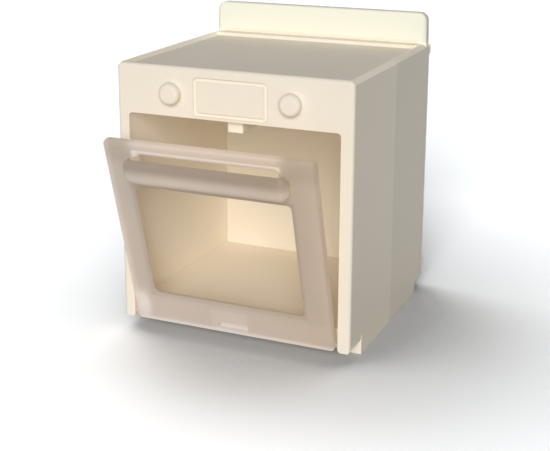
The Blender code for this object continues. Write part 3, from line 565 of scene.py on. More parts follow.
class Graph:
    """Builds the nodes of one material or world."""

    def __init__(self, owner: Union[Finish, bpy.types.World]) -> None:
        """Start with an empty tree in a material or world."""
        self.owner = owner
        owner.use_nodes = True
        self.tree = owner.node_tree
        self.tree.nodes.clear()

    def node(self, kind: str, settings: Optional[Dict] = None, inputs: Optional[Dict] = None,
             output: Union[int, str] = 0) -> Signal:
        """Add any node.

        Args:
            kind: The node's type.
            settings: Its settings, which are set first.
            inputs: Values or signals for its sockets, by name or number.
            output: Which of its outputs to return.

        Returns:
            The chosen output.
        """
        made = self.tree.nodes.new(kind)
        for key, value in (settings or {}).items():
            setattr(made, key, value)
        for key, value in (inputs or {}).items():
            socket = made.inputs[key]
            if isinstance(value, Signal):
                self.tree.links.new(value.socket, socket)
            else:
                socket.default_value = value
        return Signal(self, made.outputs[output])

    def close(self, shader: Signal, output: str = "ShaderNodeOutputMaterial") -> None:
        """Send a shader to the tree's output."""
        self.tree.links.new(shader.socket, self.tree.nodes.new(output).inputs["Surface"])

    def seen(self) -> Signal:
        """1 on rays from the camera, off a gloss or through glass, and 0 on all others."""
        camera, gloss, glass = [self.node("ShaderNodeLightPath", output=ray) for ray in SEEN_RAYS]
        return camera.most(gloss).most(glass)

    def join(self, *parts: Number) -> Signal:
        """A colour or vector from its three parts."""
        return self.node("ShaderNodeCombineXYZ", inputs=dict(enumerate(parts)))

    def place(self) -> Signal:
        """The point of the piece in its own coordinates."""
        return self.node("ShaderNodeTexCoord", output="Object")

    def noise(self, place: Signal, grain: float, detail: float = 2.0) -> Signal:
        """Soft noise between 0 and 1 whose grains have a given size."""
        return self.node("ShaderNodeTexNoise", {"noise_dimensions": "3D"},
                         {"Vector": place, "Scale": 1 / grain, "Detail": detail})

    def parts(self, place: Signal) -> Tuple[Signal, Signal, Signal]:
        """The three coordinates of a vector."""
        split = self.node("ShaderNodeSeparateXYZ", inputs={0: place})
        outputs = split.socket.node.outputs
        return split, Signal(self, outputs[1]), Signal(self, outputs[2])

    def blend(self, share: Number, first: Union[Colour, Signal], second: Union[Colour, Signal],
              mode: str = "MIX") -> Signal:
        """Mix two colours.

        Args:
            share: How much of the second, from 0 to 1.
            first: Colour or signal.
            second: Colour or signal.
            mode: Blend type, such as MIX or MULTIPLY.

        Returns:
            The mixed colour.
        """
        settings = {"data_type": "RGBA", "blend_type": mode, "clamp_factor": True}
        ends = [value if isinstance(value, Signal) else (*value, 1.0) for value in (first, second)]
        return self.node("ShaderNodeMix", settings, {0: share, 6: ends[0], 7: ends[1]}, output=2)

    def bump(self, height: Signal, strength: float, distance: float, normal: Optional[Signal] = None) -> Signal:
        """Turn a height into a bent normal."""
        inputs: Dict = {"Height": height, "Strength": strength, "Distance": distance}
        if normal:
            inputs["Normal"] = normal
        return self.node("ShaderNodeBump", inputs=inputs)

    def finish(self, other: Optional[Signal] = None, share: Number = 0.0,
               **sockets: Union[Number, Colour, Signal]) -> Finish:
        """Close the material with a Principled BSDF.

        Args:
            other: A second shader that is mixed in.
            share: How much of the second shader, from 0 to 1.
            sockets: Values for the Principled BSDF's sockets, in lower case with underscores.

        Returns:
            The finished material.
        """
        inputs = {}
        for name, value in sockets.items():
            words = name.replace("_", " ").title().replace("Ior", "IOR")
            inputs[words] = (*value, 1.0) if words == "Base Color" and isinstance(value, tuple) else value
        shader = self.node("ShaderNodeBsdfPrincipled", inputs=inputs)
        if other:
            shader = self.node("ShaderNodeMixShader", inputs={0: share, 1: shader, 2: other})
        self.close(shader)
        return self.owner


@dataclass(frozen=True)
class Zone:
    """A soft zone of a piece, and what the plastic looks like there.

    Each ramp names a coordinate, the place where the zone starts along it and the place where it is full. The
    gain is painted light above 0 and painted shade below 0; the glow is how strongly a painted glow shows
    there.
    """

    ramps: Tuple[Ramp, ...]
    gain: float = 0.0
    glow: float = 0.0

    def mask(self, places: Dict[str, Signal]) -> Signal:
        """How far a point is inside the zone.

        Args:
            places: The coordinates, by name.

        Returns:
            The product of the ramps, from 0 to 1.
        """
        mask, *others = [places[name].ramp(start, end) for name, start, end in self.ramps]
        for other in others:
            mask = mask * other
        return mask


@dataclass(frozen=True)
class SatinPlastic:
    """Opaque moulded plastic with a satin skin.

    The zones are measured from the oven's middle, from its front face and from the ground. They paint light and
    shade into the colour: painted bounce light in the cavity, painted shade on its back wall, painted light on
    the hob's rims and on the splashback's front, and painted shade on the sides behind the parting line.
    """

    name: str
    colour: Colour
    roughness: float = 0.42
    shine: float = 0.1
    refraction: float = 1.46
    # painted light: inner is a paler, warmer colour for the cavity that stands in for bounced light, and back a
    # darker one that paints shade on the cavity's back wall
    inner: Colour = (1.00, 0.905, 0.755)
    back: Colour = (0.935, 0.840, 0.690)
    # painted light: crest whitens and brightens the splashback's front
    crest: Colour = (1.02, 1.11, 1.11)
    cloud_share: float = 0.012
    cloud_gloss: float = 0.04
    cloud_size: float = 0.014
    spark_size: float = 0.00022
    spark_height: float = 0.0000025
    spark_gloss: float = 0.10
    wave_size: float = 0.006
    wave_height: float = 0.000010
    # where the cavity's painted bounce light goes
    cavity_painted_bounce_zone: Zone = Zone((("side", 0.0274, 0.0272), ("deep", 0.0002, 0.0030), ("deep", 0.0501, 0.0497),
                              ("up", 0.0069, 0.0073), ("up", 0.0565, 0.0561)))
    # where the back wall's painted shade goes
    back_wall_painted_shade_zone: Zone = Zone((("deep", 0.0485, 0.0493),))
    # painted shade on the sides behind the parting line
    rear_side_painted_shade_zone: Zone = Zone((("side", 0.0290, 0.0294), ("deep", 0.0294, 0.0296)), gain=-0.09)
    # painted light on the hob's rims
    rim_painted_light_zone: Zone = Zone((("side", 0.0280, 0.0281), ("up", 0.0669, 0.0670), ("up", 0.0684, 0.0683),
                           ("deep", 0.0006, 0.0014)), gain=0.30)
    # where the splashback's painted light goes
    splash_painted_light_zone: Zone = Zone((("up", 0.0683, 0.0689), ("deep", 0.0560, 0.0555)))

    def make(self) -> Finish:
        """Build the material.

        Returns:
            The finished material.
        """
        graph = Graph(bpy.data.materials.new(self.name))
        place = graph.place()
        cloud = graph.noise(place, self.cloud_size, detail=3.0)
        spark = graph.noise(place, self.spark_size, detail=1.0)
        wave = graph.noise(place, self.wave_size, detail=0.0)
        across, deep, up = graph.parts(place)
        places = {"side": abs(across), "deep": deep - FRONT, "up": up}
        # the random cloud tone, then painted shade behind the parting line and painted light on the hob's rims
        light = 1 + (cloud - 0.5) * (2 * self.cloud_share)
        for zone in (self.rear_side_painted_shade_zone, self.rim_painted_light_zone):
            light = light * (1 + zone.gain * zone.mask(places))
        # painted light on the splashback's front
        crest = self.splash_painted_light_zone.mask(places)
        tone_with_painted_light = graph.join(*[light * (1 + (part - 1) * crest) for part in self.crest])
        # painted bounce light in the cavity and painted shade on its back wall
        inner = graph.blend(self.back_wall_painted_shade_zone.mask(places), self.inner, self.back)
        hue = graph.blend(self.cavity_painted_bounce_zone.mask(places), self.colour, inner)
        base = graph.blend(1.0, hue, tone_with_painted_light, "MULTIPLY")
        roughness = self.roughness + (spark - 0.5) * self.spark_gloss + (cloud - 0.5) * self.cloud_gloss
        normal = graph.bump(spark, 1.0, self.spark_height, graph.bump(wave, 1.0, self.wave_height))
        return graph.finish(base_color=base, roughness=roughness, normal=normal, ior=self.refraction,
                            specular_ior_level=self.shine)


ON_BAR: Ramp = ("deep", -0.0002, -0.0007)
ON_FACE: Ramp = ("deep", -0.0007, -0.0002)
ON_HEAD: Tuple[Ramp, ...] = (("up", 0.0494, 0.0500), ("side", 0.0205, 0.0165))
# painted light and shade on the door: painted highlights on the slot's upper edge, the strip over it and the
# handle bar; painted glow at the foot, the lower left corner and the snap slot; painted shade on the top of the
# bar, round the window, on its walls, at the upper corners and along the right edge
DOOR_PAINTED_LIGHT_AND_SHADE_ZONES = {
    "upper edge of the slot": Zone((("up", 0.0474, 0.0479), ("up", 0.0497, 0.0492), ("side", 0.0190, 0.0178),
                                    ON_FACE), 0.80, 1.0),
    "strip over the slot": Zone(ON_HEAD, 0.16),
    "upper edge of the door": Zone((*ON_HEAD, ("up", 0.0500, 0.0513)), 0.30),
    "upper corners": Zone((("up", 0.0440, 0.0480), ("side", 0.0170, 0.0215), ON_FACE), -0.22),
    "round the window": Zone((("rim", 0.0013, 0.0003), ON_FACE), -0.26),
    "window walls": Zone((("rim", 0.0003, 0.0001), ("deep", 0.0, 0.0004)), -0.34),
    "foot": Zone((("up", 0.0017, 0.0003),), 0.70, 0.7),
    "left lower corner": Zone((("corner", 0.0028, 0.0), ("corner_up", 0.0060, 0.0)), 0.75, 0.7),
    "left edge": Zone((("across", -0.0240, -0.0259),), 0.35),
    "right edge": Zone((("across", 0.0254, 0.0260),), -0.22),
    "band over the foot": Zone((("up", 0.0085, 0.0060),), 0.12),
    "middle pad": Zone((("side", 0.00495, 0.00465), ("up", 0.00700, 0.00655)), 0.13),
    "snap slot": Zone((("side", 0.0047, 0.0045), ("snap_up", 0.00075, 0.00062), ("across", -0.0034, -0.0031)),
                      0.70, 1.0),
    "handle bar": Zone((ON_BAR,), 0.30),
    "top of the bar": Zone((ON_BAR, ("up", 0.0437, 0.0465)), -0.78),
    "ends of the bar": Zone((ON_BAR, ("side", 0.0186, 0.0204), ("up", 0.0465, 0.0437)), -0.04),
}


@dataclass(frozen=True)
class FrostedPlastic:
    """Frosted translucent plastic of the door, with painted light and shade: a painted glow at its foot and
    rims, painted highlights, and painted shade on its bar and round its window.

    The places are in metres on the closed door: across it, up from its foot and behind its front face.
    """

    name: str
    hinge: Vector
    foot: float = 0.0033
    middle: float = -0.0005
    window: Tuple[float, float, float, float] = (-0.0003, 0.01975, 0.0243, 0.0153)
    corner: Span = (-0.0238, 0.0050)
    snap: float = 0.0026
    cool: Colour = (0.620, 0.590, 0.570)
    warm: Colour = (0.610, 0.560, 0.500)
    mauve: Colour = (0.560, 0.572, 0.575)
    glow: Colour = (0.92, 0.80, 0.66)
    warm_zone: Zone = Zone((("across", -0.004, 0.022),))
    mauve_zone: Zone = Zone((("across", -0.010, -0.022), ("up", 0.026, 0.042)))
    # share is the real translucency; rim_share is how much of it gives way to the painted glow at the rims
    share: float = 0.5
    rim_share: float = 0.6
    # painted light: the door is painted brightest at its foot and darker upwards by fade per metre, and no
    # brighter than brightest
    foot_light: float = 1.17
    fade: float = 4.8
    brightest: float = 1.62
    roughness: float = 0.42
    refraction: float = 1.49
    frost_size: float = 0.00018
    frost_height: float = 0.000004
    frost_gloss: float = 0.08
    cloud_size: float = 0.010
    cloud_share: float = 0.05

    def light(self, places: Dict[str, Signal]) -> Tuple[Signal, Signal]:
        """Painted light and shade over the door: the painted glow at its foot and rims, and the painted shade
        on its bar.

        Args:
            places: The coordinates on the closed door, by name.

        Returns:
            The painted brightness, about 1, and how strongly the painted glow at its rims shows, from 0 to 1.
        """
        bright, rims = self.foot_light - places["up"] * self.fade, places["up"] * 0.0
        for zone in DOOR_PAINTED_LIGHT_AND_SHADE_ZONES.values():
            mask = zone.mask(places)
            bright = bright + zone.gain * mask
            if zone.glow:
                rims = rims.most(zone.glow * mask)
        return bright, rims.least(1.0)

    def make(self) -> Finish:
        """Build the material.

        Returns:
            The finished material.
        """
        graph = Graph(bpy.data.materials.new(self.name))
        place = graph.place()
        closed = graph.node("ShaderNodeVectorRotate", {"rotation_type": "X_AXIS", "invert": True},
                            {"Vector": place, "Center": self.hinge, "Angle": REST_TILT})
        across, deep, up = graph.parts(closed)
        up = up - self.foot
        middle, half, height, reach = self.window
        places = {"across": across, "deep": deep - FRONT, "up": up, "side": abs(across - self.middle),
                  "rim": (abs(across - middle) - half).most(abs(up - height) - reach),
                  "corner": abs(across - self.corner[0]), "corner_up": abs(up - self.corner[1]),
                  "snap_up": abs(up - self.snap)}
        frost = graph.noise(place, self.frost_size)
        cloud = graph.noise(place, self.cloud_size)
        # painted light and shade, with the random cloud tone
        bright, rims = self.light(places)
        light = (bright + (cloud - 0.5) * self.cloud_share).least(self.brightest)
        hue = graph.blend(self.warm_zone.mask(places), self.cool, self.warm)
        hue = graph.blend(self.mauve_zone.mask(places), hue, self.mauve)
        base = graph.blend(1.0, hue, graph.join(light, light, light), "MULTIPLY")
        glow = graph.node("ShaderNodeBsdfTranslucent", inputs={"Color": (*self.glow, 1.0)})
        # where the painted glow is, less of the real translucency is mixed in
        return graph.finish(glow, self.share * (1 - self.rim_share * rims), base_color=base,
                            ior=self.refraction, normal=graph.bump(frost, 1.0, self.frost_height),
                            roughness=self.roughness + (frost - 0.5) * self.frost_gloss)


@dataclass(frozen=True)
class ScrewSteel:
    """Plain steel of the small screws."""

    name: str
    colour: Colour = (0.58, 0.57, 0.56)
    shade: float = 0.86
    roughness: float = 0.32
    streak: float = 0.0004
    stretch: float = 6.0
    streak_height: float = 0.00001
    streak_strength: float = 0.4
    streak_gloss: float = 0.2

    def make(self) -> Finish:
        """Build the material.

        Returns:
            The finished material.
        """
        graph = Graph(bpy.data.materials.new(self.name))
        drawn = graph.node("ShaderNodeMapping", inputs={"Vector": graph.place(), "Scale": (1, 1, self.stretch)})
        streak = graph.noise(drawn, self.streak, detail=3.0)
        base = graph.blend(streak, self.colour, tuple(self.shade * part for part in self.colour))
        return graph.finish(base_color=base, metallic=1.0,
                            normal=graph.bump(streak, self.streak_strength, self.streak_height),
                            roughness=self.roughness + (streak - 0.5) * self.streak_gloss)


@dataclass
class Piece:
    """A finished piece of the oven and the node that it stands for."""

    item: Item
    node: str
    body: Body
    slot: Slot
    finish: Finish

    def seat(self) -> None:
        """Give the piece its finish and its body, hide the node that it stands for, and report it."""
        self.item.data.materials.clear()
        self.item.data.materials.append(self.finish)
        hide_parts(self.node)
        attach(self.item, self.body.value)
        self.item.data.calc_loop_triangles()
        LOG.info("%s: %d triangles on %s", self.item.name, len(self.item.data.loop_triangles), self.body.value)


@dataclass
class Cavity:
    """The tapering inside of the oven, which several pieces follow."""

    half_width: float = 0.0270
    rear_half_width: float = 0.02515
    depth: float = 0.0495
    top: float = 0.0559
    ceiling_drop: float = 0.0003
    corner: float = 0.0010
    wall: float = 0.0010

    def side(self, y: float) -> float:
        """Half-width of the cavity at a distance behind the front face."""
        return self.half_width - (self.half_width - self.rear_half_width) * y / self.depth

    def solid(self, name: str, grow: float, end: float, root: float = 0.0) -> Item:
        """The cavity as a solid that starts in front of the oven.

        Args:
            name: Name of the object.
            grow: How much larger than the cavity it is all round.
            end: How deep it reaches.
            root: Fillet round its far end.

        Returns:
            The solid.
        """
        near = self.side(-OVERRUN) + grow
        far = self.side(end) + grow
        item = Bench.block(name, at(-near, -OVERRUN, -OVERRUN), at(near, end, self.top + grow))
        rear = behind(end)
        Bench.widen(item, rear, far / near)
        Bench.shift(item, both(rear, unless(level(-OVERRUN))), Vector((0, 0, -self.ceiling_drop)))
        Bench.fillet(item, both(runs(Axis.DEEP), unless(level(-OVERRUN))), self.corner + grow, steps=8)
        if root:
            Bench.fillet(item, both(rear, unless(level(-OVERRUN))), root, steps=4)
        return item


@dataclass
class Housing:
    """Double-walled cream moulding: outer walls, hob, splashback, feet and the oven cavity."""

    cavity: Cavity
    front_half: float = 0.0300
    parting_half: float = 0.0303
    rear_half: float = 0.0302
    depth: float = 0.0583
    parting: float = 0.0295
    top: float = 0.0679
    outer_round: float = 0.0009
    rear_round: float = 0.0004
    hob_drop: float = 0.0009
    hob_rim: float = 0.0012
    hob_side: float = 0.0020
    hob_slope: float = 0.0008
    top_facet: float = 0.00095
    hob_end: float = 0.0514
    hob_corner: float = 0.0005
    hob_lip: float = 0.0001
    hob_root: float = 0.0002
    splash_start: float = 0.0549
    splash_thick: float = 0.0029
    splash_rise: float = 0.0080
    splash_half: float = 0.0301
    splash_top_half: float = 0.0299
    splash_depth_in_body: float = 0.0018
    splash_corner: float = 0.0021
    splash_edge: float = 0.0006
    mouth_edge: float = 0.0004
    stile_end: float = 0.0033
    stile_round: float = 0.0009
    stile_front_share: float = 0.6
    stile_top: float = 0.0100
    foot_start: float = 0.0082
    foot_end: float = 0.0516
    rear_end: float = 0.0033
    foot_edge: float = 0.00015
    panel_wall: float = 0.0020
    outer_wall: float = 0.0013
    top_wall: float = 0.0014
    panel_depth: float = 0.0100
    core_floor: float = 0.0045
    cover_seat: float = 0.0559
    rib: float = 0.0008
    top_rib_place: float = 0.0118
    side_rib_heights: Tuple[float, ...] = (0.0190, 0.0331, 0.0471)

    @property
    def core_half(self) -> float:
        """Half-width of the hollow behind the front frame."""
        return self.rear_half - self.outer_wall

    @property
    def core_top(self) -> float:
        """Height of the hollow under the hob."""
        return self.top - self.hob_drop - self.top_wall

    def outside(self) -> Item:
        """Drafted outer block with its rounded edges.

        Returns:
            The block.
        """
        item = Bench.block("housing", at(-self.front_half, 0, 0), at(self.front_half, self.depth, self.top))
        Bench.halve(item, at(0, self.parting, 0), BACK)
        for place, half in ((self.parting, self.parting_half), (self.depth, self.rear_half)):
            Bench.widen(item, behind(place), half / self.front_half)
        front = both(behind(0), unless(level(0)))
        top = both(level(self.top), runs(Axis.DEEP))
        Bench.fillet(item, top, self.top_facet, steps=1)
        Bench.fillet(item, front, self.outer_round, steps=8)
        rear = both(behind(self.depth), unless(level(0)))
        return Bench.fillet(item, rear, self.rear_round, steps=4)

    def splashback(self) -> Item:
        """Upright plate at the back of the hob.

        Returns:
            The plate.
        """
        foot = self.top - self.splash_depth_in_body
        crest = self.top + self.splash_rise
        item = Bench.block("splashback", at(-self.splash_half, self.splash_start, foot),
                           at(self.splash_half, self.splash_start + self.splash_thick, crest))
        Bench.widen(item, level(crest), self.splash_top_half / self.splash_half)
        Bench.fillet(item, both(runs(Axis.DEEP), level(crest)), self.splash_corner, steps=8)
        return Bench.fillet(item, both(unless(runs(Axis.DEEP)), unless(level(foot))),
                            self.splash_edge, steps=8)

    def hob(self) -> Item:
        """Cutter of the sunken hob, whose foot is rounded.

        Returns:
            The cutter.
        """
        half = self.front_half - self.hob_side
        surface = self.top - self.hob_drop
        item = Bench.block("hob", at(-half, self.hob_rim, surface), at(half, self.hob_end, self.top + OVERRUN))
        Bench.fillet(item, runs(Axis.UP), self.hob_corner, steps=6)
        slope = self.hob_slope / half * (self.hob_drop + OVERRUN) / self.hob_drop
        Bench.widen(item, level(self.top + OVERRUN), 1 + slope)
        return Bench.fillet(item, level(surface), self.hob_root, steps=4)

    def core(self) -> Item:
        """Hollow between the outer walls and the cavity, open at the rear.

        Returns:
            The cutter.
        """
        end = self.depth + OVERRUN
        ceiling = self.cavity.top + self.cavity.wall + EMBED
        item = Bench.block("core", at(-self.core_half, self.panel_depth, self.core_floor),
                           at(self.core_half, end, self.core_top))
        front = Bench.block("panel_hollow", at(-self.core_half, self.panel_wall, ceiling),
                            at(self.core_half, self.panel_depth + OVERRUN, self.core_top))
        Bench.join(item, front)
        wall = self.cavity.wall
        return Bench.cut(item, self.cavity.solid("shell", wall, self.cavity.depth + wall))

    def ends(self) -> List[Item]:
        """Cutters under the stiles, between the feet and at the rear end.

        Returns:
            The cutters.
        """
        wide = self.parting_half + OVERRUN
        beyond = self.depth + OVERRUN
        rear_half = self.cavity.rear_half_width
        made = [Bench.block("between_feet", at(-rear_half, self.cavity.depth - OVERRUN, -OVERRUN),
                            at(rear_half, beyond, self.rear_end)),
                Bench.block("rear_end", at(-wide, self.foot_end, -OVERRUN), at(wide, beyond, self.rear_end))]
        inner, outer = self.cavity.half_width, self.front_half
        low_edge = level(self.stile_end)
        for side in SIDES:
            below = Bench.flank("stile_end", side, (inner - OVERRUN, -OVERRUN, -OVERRUN),
                                (outer + OVERRUN, self.foot_start, self.stile_end + 2 * self.stile_round))
            stile = Bench.flank("stile", side, (inner, 0, self.stile_end),
                                (outer, self.foot_start + OVERRUN, self.stile_top))
            Bench.fillet(stile, both(low_edge, runs(Axis.DEEP)), self.stile_round, steps=6)
            Bench.fillet(stile, both(low_edge, behind(0)), self.stile_round * self.stile_front_share, steps=4)
            made.append(Bench.cut(below, stile))
        return made

    def ribs(self) -> List[Item]:
        """Ribs between the outer walls and the cavity, which also seat the rear cover.

        Returns:
            The ribs.
        """
        half = self.rib / 2
        near = self.cavity.side(self.panel_depth) + self.cavity.wall / 2
        far = self.cavity.side(self.cavity.depth) + self.cavity.wall / 2
        made = []
        for side in SIDES:
            made.append(Bench.flank(
                "top_rib", side, (self.top_rib_place - half, self.panel_wall - EMBED, self.cavity.top + EMBED),
                (self.top_rib_place + half, self.cover_seat, self.core_top + EMBED)))
            tip = both(behind(self.cover_seat), lies(Axis.ACROSS, side * near))
            for height in self.side_rib_heights:
                rib = Bench.flank("side_rib", side, (near, self.panel_depth - EMBED, height - half),
                                  (self.core_half + EMBED, self.cover_seat, height + half))
                made.append(Bench.shift(rib, tip, Vector((side * (far - near), 0, 0))))
        return made

    def build(self, pads: "BaseScrews", knobs: "Knobs", display: "Display", catch: "Catch",
              hinge: "Hinge", cover: "RearCover", floor: "OvenFloor") -> Item:
        """Make the whole moulding.

        Args:
            pads: The base screws, which give the pads and their holes.
            knobs: The knobs, which give the bores in the panel.
            display: The display, which gives its pocket.
            catch: The catch, which gives its peg's hole.
            hinge: The hinge, which gives the bores in the stiles.
            cover: The rear cover, which gives the bosses and their holes.
            floor: The floor, whose tongue enters the back wall.

        Returns:
            The moulding.
        """
        item = self.outside()
        Bench.join(item, self.splashback())
        Bench.cut(item, self.hob(), self.core(),
                  self.cavity.solid("cavity", 0.0, self.cavity.depth, self.hob_root), *self.ends())
        Bench.join(item, *self.ribs(), *pads.pads(self.cavity), *cover.bosses(self), *knobs.collars())
        Bench.cut(item, *display.pocket(), *knobs.bores(self.panel_wall), *hinge.bores(self.cavity.half_width),
                  *pads.holes(), *cover.boss_holes(self), *catch.hole(self.cavity), floor.slot(self.cavity))
        self.soften(item)
        return Bench.smooth(item)

    def soften(self, item: Item) -> None:
        """Round the rims of the mouth, the hob and the feet.

        Args:
            item: The moulding.
        """
        mouth = both(behind(0),
                     inside(at(-self.cavity.half_width - EMBED, 0, self.stile_end + self.stile_round),
                            at(self.cavity.half_width + EMBED, 0, self.cavity.top + EMBED)))
        Bench.fillet(item, mouth, self.mouth_edge, steps=6)
        half = self.front_half - self.hob_side + self.hob_slope + EMBED
        rim = both(level(self.top), inside(at(-half, self.hob_rim, 0), at(half, self.hob_end, self.top)))
        Bench.fillet(item, rim, self.hob_lip, steps=4)
        Bench.fillet(item, level(0), self.foot_edge, steps=2)


@dataclass
class Hinge:
    """The door's two trunnions and the bores in the stiles that they turn in."""

    place: Vector = field(default_factory=lambda: Vector(HINGE["pos_m"]))
    radius: float = 0.0006
    reach: float = 0.0015

    def bores(self, mouth_half: float) -> List[Item]:
        """Cutters of the two blind bores.

        Args:
            mouth_half: Half-width of the mouth.

        Returns:
            The cutters.
        """
        return self.pins("hinge_bore", mouth_half - OVERRUN, mouth_half + self.reach + SEAT,
                         self.radius + RUNNING)

    def trunnions(self, mouth_half: float, door_half: float) -> List[Item]:
        """The two pins at the door's ends.

        Args:
            mouth_half: Half-width of the mouth.
            door_half: Half-width of the door.

        Returns:
            The pins.
        """
        end = mouth_half + self.reach
        pins = self.pins("trunnion", door_half - OVERRUN, end, self.radius)
        return [Bench.fillet(pin, lies(Axis.ACROSS, side * end), self.radius / 4, steps=2)
                for side, pin in zip(SIDES, pins)]

    def pins(self, name: str, start: float, end: float, radius: float) -> List[Item]:
        """Two rods along the hinge's axis between two distances from the middle."""
        return [Bench.rod(name, Vector((side * start, *self.place.yz)), Vector((side, 0, 0)), radius,
                          end - start, BORE_SIDES) for side in SIDES]


@dataclass
class Screw:
    """Slotted pan-head screw with a thread."""

    shank: float = 0.0007
    head: float = 0.0015
    head_height: float = 0.0006
    bite: float = 0.0036
    tip: float = 0.0007
    tip_radius: float = 0.0002
    slot_width: float = 0.0004
    slot_depth: float = 0.0003
    pitch: float = 0.00045
    thread: float = 0.00012
    ridge: float = 0.000168
    winding_steps: int = 20

    def build(self, name: str, place: Vector, direction: Vector) -> Item:
        """Make one screw.

        Args:
            name: Name of the piece.
            place: Middle of the underside of the head.
            direction: Unit vector from the head to the tip.

        Returns:
            The screw.
        """
        core = self.shank - self.thread
        item = Bench.rod(name, -UPWARD * self.head_height, UPWARD, self.head, self.head_height)
        Bench.fillet(item, level(-self.head_height), self.head_height / 2, steps=5)
        Bench.cut(item, Bench.block(
            "slot", Vector((-self.head * 2, -self.slot_width / 2, -self.head_height * 2)),
            Vector((self.head * 2, self.slot_width / 2, self.slot_depth - self.head_height))))
        Bench.join(
            item, Bench.rod("shank", -UPWARD * EMBED / 2, UPWARD, core, self.bite + EMBED / 2, BORE_SIDES),
            Bench.rod("tip", UPWARD * (self.bite - NEAR), UPWARD, core, self.tip, BORE_SIDES, self.tip_radius),
            self.coil())
        Bench.aim(item, place, direction)
        return Bench.smooth(item)

    def coil(self) -> Item:
        """The thread: a small ridge wound round the shank.

        Returns:
            The ridge.
        """
        bpy.ops.mesh.primitive_circle_add(vertices=3, radius=self.ridge, fill_type="NOTHING",
                                          location=(self.shank - self.ridge, 0, self.pitch),
                                          rotation=(math.pi / 2, math.pi / 2, 0))
        item = Bench.modify(Bench.added("thread"), "SCREW", angle=2 * math.pi, screw_offset=self.pitch,
                            iterations=int((self.bite - 2 * self.pitch) / self.pitch),
                            steps=self.winding_steps, render_steps=self.winding_steps)
        with Bench.edit(item, anything):
            bpy.ops.mesh.select_non_manifold(extend=False, use_boundary=True, use_wire=False,
                                             use_multi_face=False, use_non_contiguous=False, use_verts=False)
            bpy.ops.mesh.fill_holes(sides=3)
            Bench.face_out()
        return item


@dataclass
class BaseScrews:
    """Four base screws, the pads that they enter and the holes for them."""

    screw: Screw
    pad: float = 0.0050
    pad_bottom: float = 0.0033
    pad_top: float = 0.0061
    places: Tuple[float, ...] = (0.0125, 0.0455)
    hole: float = 0.0010

    def spots(self, cavity: Cavity) -> List[Span]:
        """Plan positions of the screws, left before right and front before rear."""
        found = []
        for y in self.places:
            x = cavity.side(y - self.pad / 2) - self.pad / 2
            found += [(-x, y), (x, y)]
        return found

    def pads(self, cavity: Cavity) -> List[Item]:
        """The four pads low in the cavity."""
        self.found = self.spots(cavity)
        half = self.pad / 2
        return [Bench.flank("pad", int(math.copysign(1, x)), (abs(x) - half, y - half, self.pad_bottom),
                            (abs(x) + half + cavity.wall / 2, y + half, self.pad_top)) for x, y in self.found]

    def holes(self) -> List[Item]:
        """Cutters of the four screw holes."""
        return self.bored("pad_hole", self.pad_bottom, self.pad_top)

    def bored(self, name: str, low: float, high: float) -> List[Item]:
        """Cutters of the four screw holes between two heights."""
        return Bench.rods(name, [at(x, y, low - OVERRUN) for x, y in self.found], UPWARD, self.hole,
                          high - low + 2 * OVERRUN)

    def build(self) -> List[Item]:
        """Make the four screws, each under the plate."""
        names = ("front_left", "front_right", "rear_left", "rear_right")
        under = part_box("base_plate")[0].z - SEAT
        return [self.screw.build("fine_base_screw_" + name, at(x, y, under), UPWARD)
                for name, (x, y) in zip(names, self.found)]


@dataclass
class OvenFloor:
    """Floor panel of the cavity with its sill and tongue."""

    top: float = 0.0076
    thick: float = 0.0012
    start: float = 0.003941
    sill: float = 0.0028
    tongue_half: float = 0.01487
    tongue: float = 0.0016
    tongue_drop: float = 0.0004
    edge: float = 0.00015
    snug: float = 0.00004

    def panel(self, name: str, cavity: Cavity, near: float, far: float, low: float, high: float) -> Item:
        """A panel that lies between the tapering walls with a seating gap.

        Args:
            name: Name of the object.
            cavity: The cavity that it lies in.
            near: Where it starts behind the front face.
            far: Where it ends.
            low: Height of its underside.
            high: Height of its top.

        Returns:
            The panel.
        """
        first, last = cavity.side(near) - self.snug, cavity.side(far) - self.snug
        item = Bench.block(name, at(-first, near, low), at(first, far, high))
        return Bench.widen(item, behind(far), last / first)

    def slot(self, cavity: Cavity) -> Item:
        """Cutter of the slot in the back wall for the tongue."""
        half = self.tongue_half + self.snug
        return Bench.block("tongue_slot", at(-half, cavity.depth - OVERRUN, self.top - self.thick - SEAT),
                           at(half, cavity.depth + cavity.wall + OVERRUN,
                              self.top - self.tongue_drop + self.snug))

    def build(self, cavity: Cavity) -> Item:
        """Make the floor.

        Args:
            cavity: The cavity that it lies in.

        Returns:
            The floor.
        """
        end = cavity.depth - self.snug
        under = self.top - self.thick
        item = self.panel("cavity_floor", cavity, self.start, end, under, self.top)
        sill = self.panel("sill", cavity, self.start, self.start + self.thick, under - self.sill,
                          self.top - EMBED)
        tongue = Bench.block("tongue", at(-self.tongue_half, end - EMBED, under),
                             at(self.tongue_half, end + self.tongue, self.top - self.tongue_drop))
        Bench.join(item, sill, tongue)
        Bench.fillet(item, both(level(self.top), behind(self.start)), self.edge * 2, steps=4)
        return Bench.smooth(item)


@dataclass
class BasePlate:
    """Plate between the feet with two stiffening ribs."""

    low: float = 0.0018
    high: float = 0.0030
    near: float = 0.0085
    corner: float = 0.0015
    rib: float = 0.0008
    rib_height: float = 0.0016
    rib_place: float = 0.0130
    edge: float = 0.00015

    def build(self, cavity: Cavity, floor: OvenFloor, screws: BaseScrews) -> Item:
        """Make the plate.

        Args:
            cavity: The cavity above it.
            floor: The floor, whose taper it shares.
            screws: The screws that pass through it.

        Returns:
            The plate.
        """
        far = cavity.depth - SEAT
        item = floor.panel("underside_plate", cavity, self.near, far, self.low, self.high)
        Bench.fillet(item, runs(Axis.UP), self.corner, steps=8)
        Bench.fillet(item, level(self.low), self.edge, steps=2)
        half = self.rib / 2
        front = (self.rib_place - half, self.near + self.corner, self.high - EMBED)
        rear = (self.rib_place + half, far - self.corner, self.high + self.rib_height)
        Bench.join(item, *[Bench.flank("rib", side, front, rear) for side in SIDES])
        Bench.cut(item, *screws.bored("hole", self.low, self.high))
        return Bench.smooth(item)


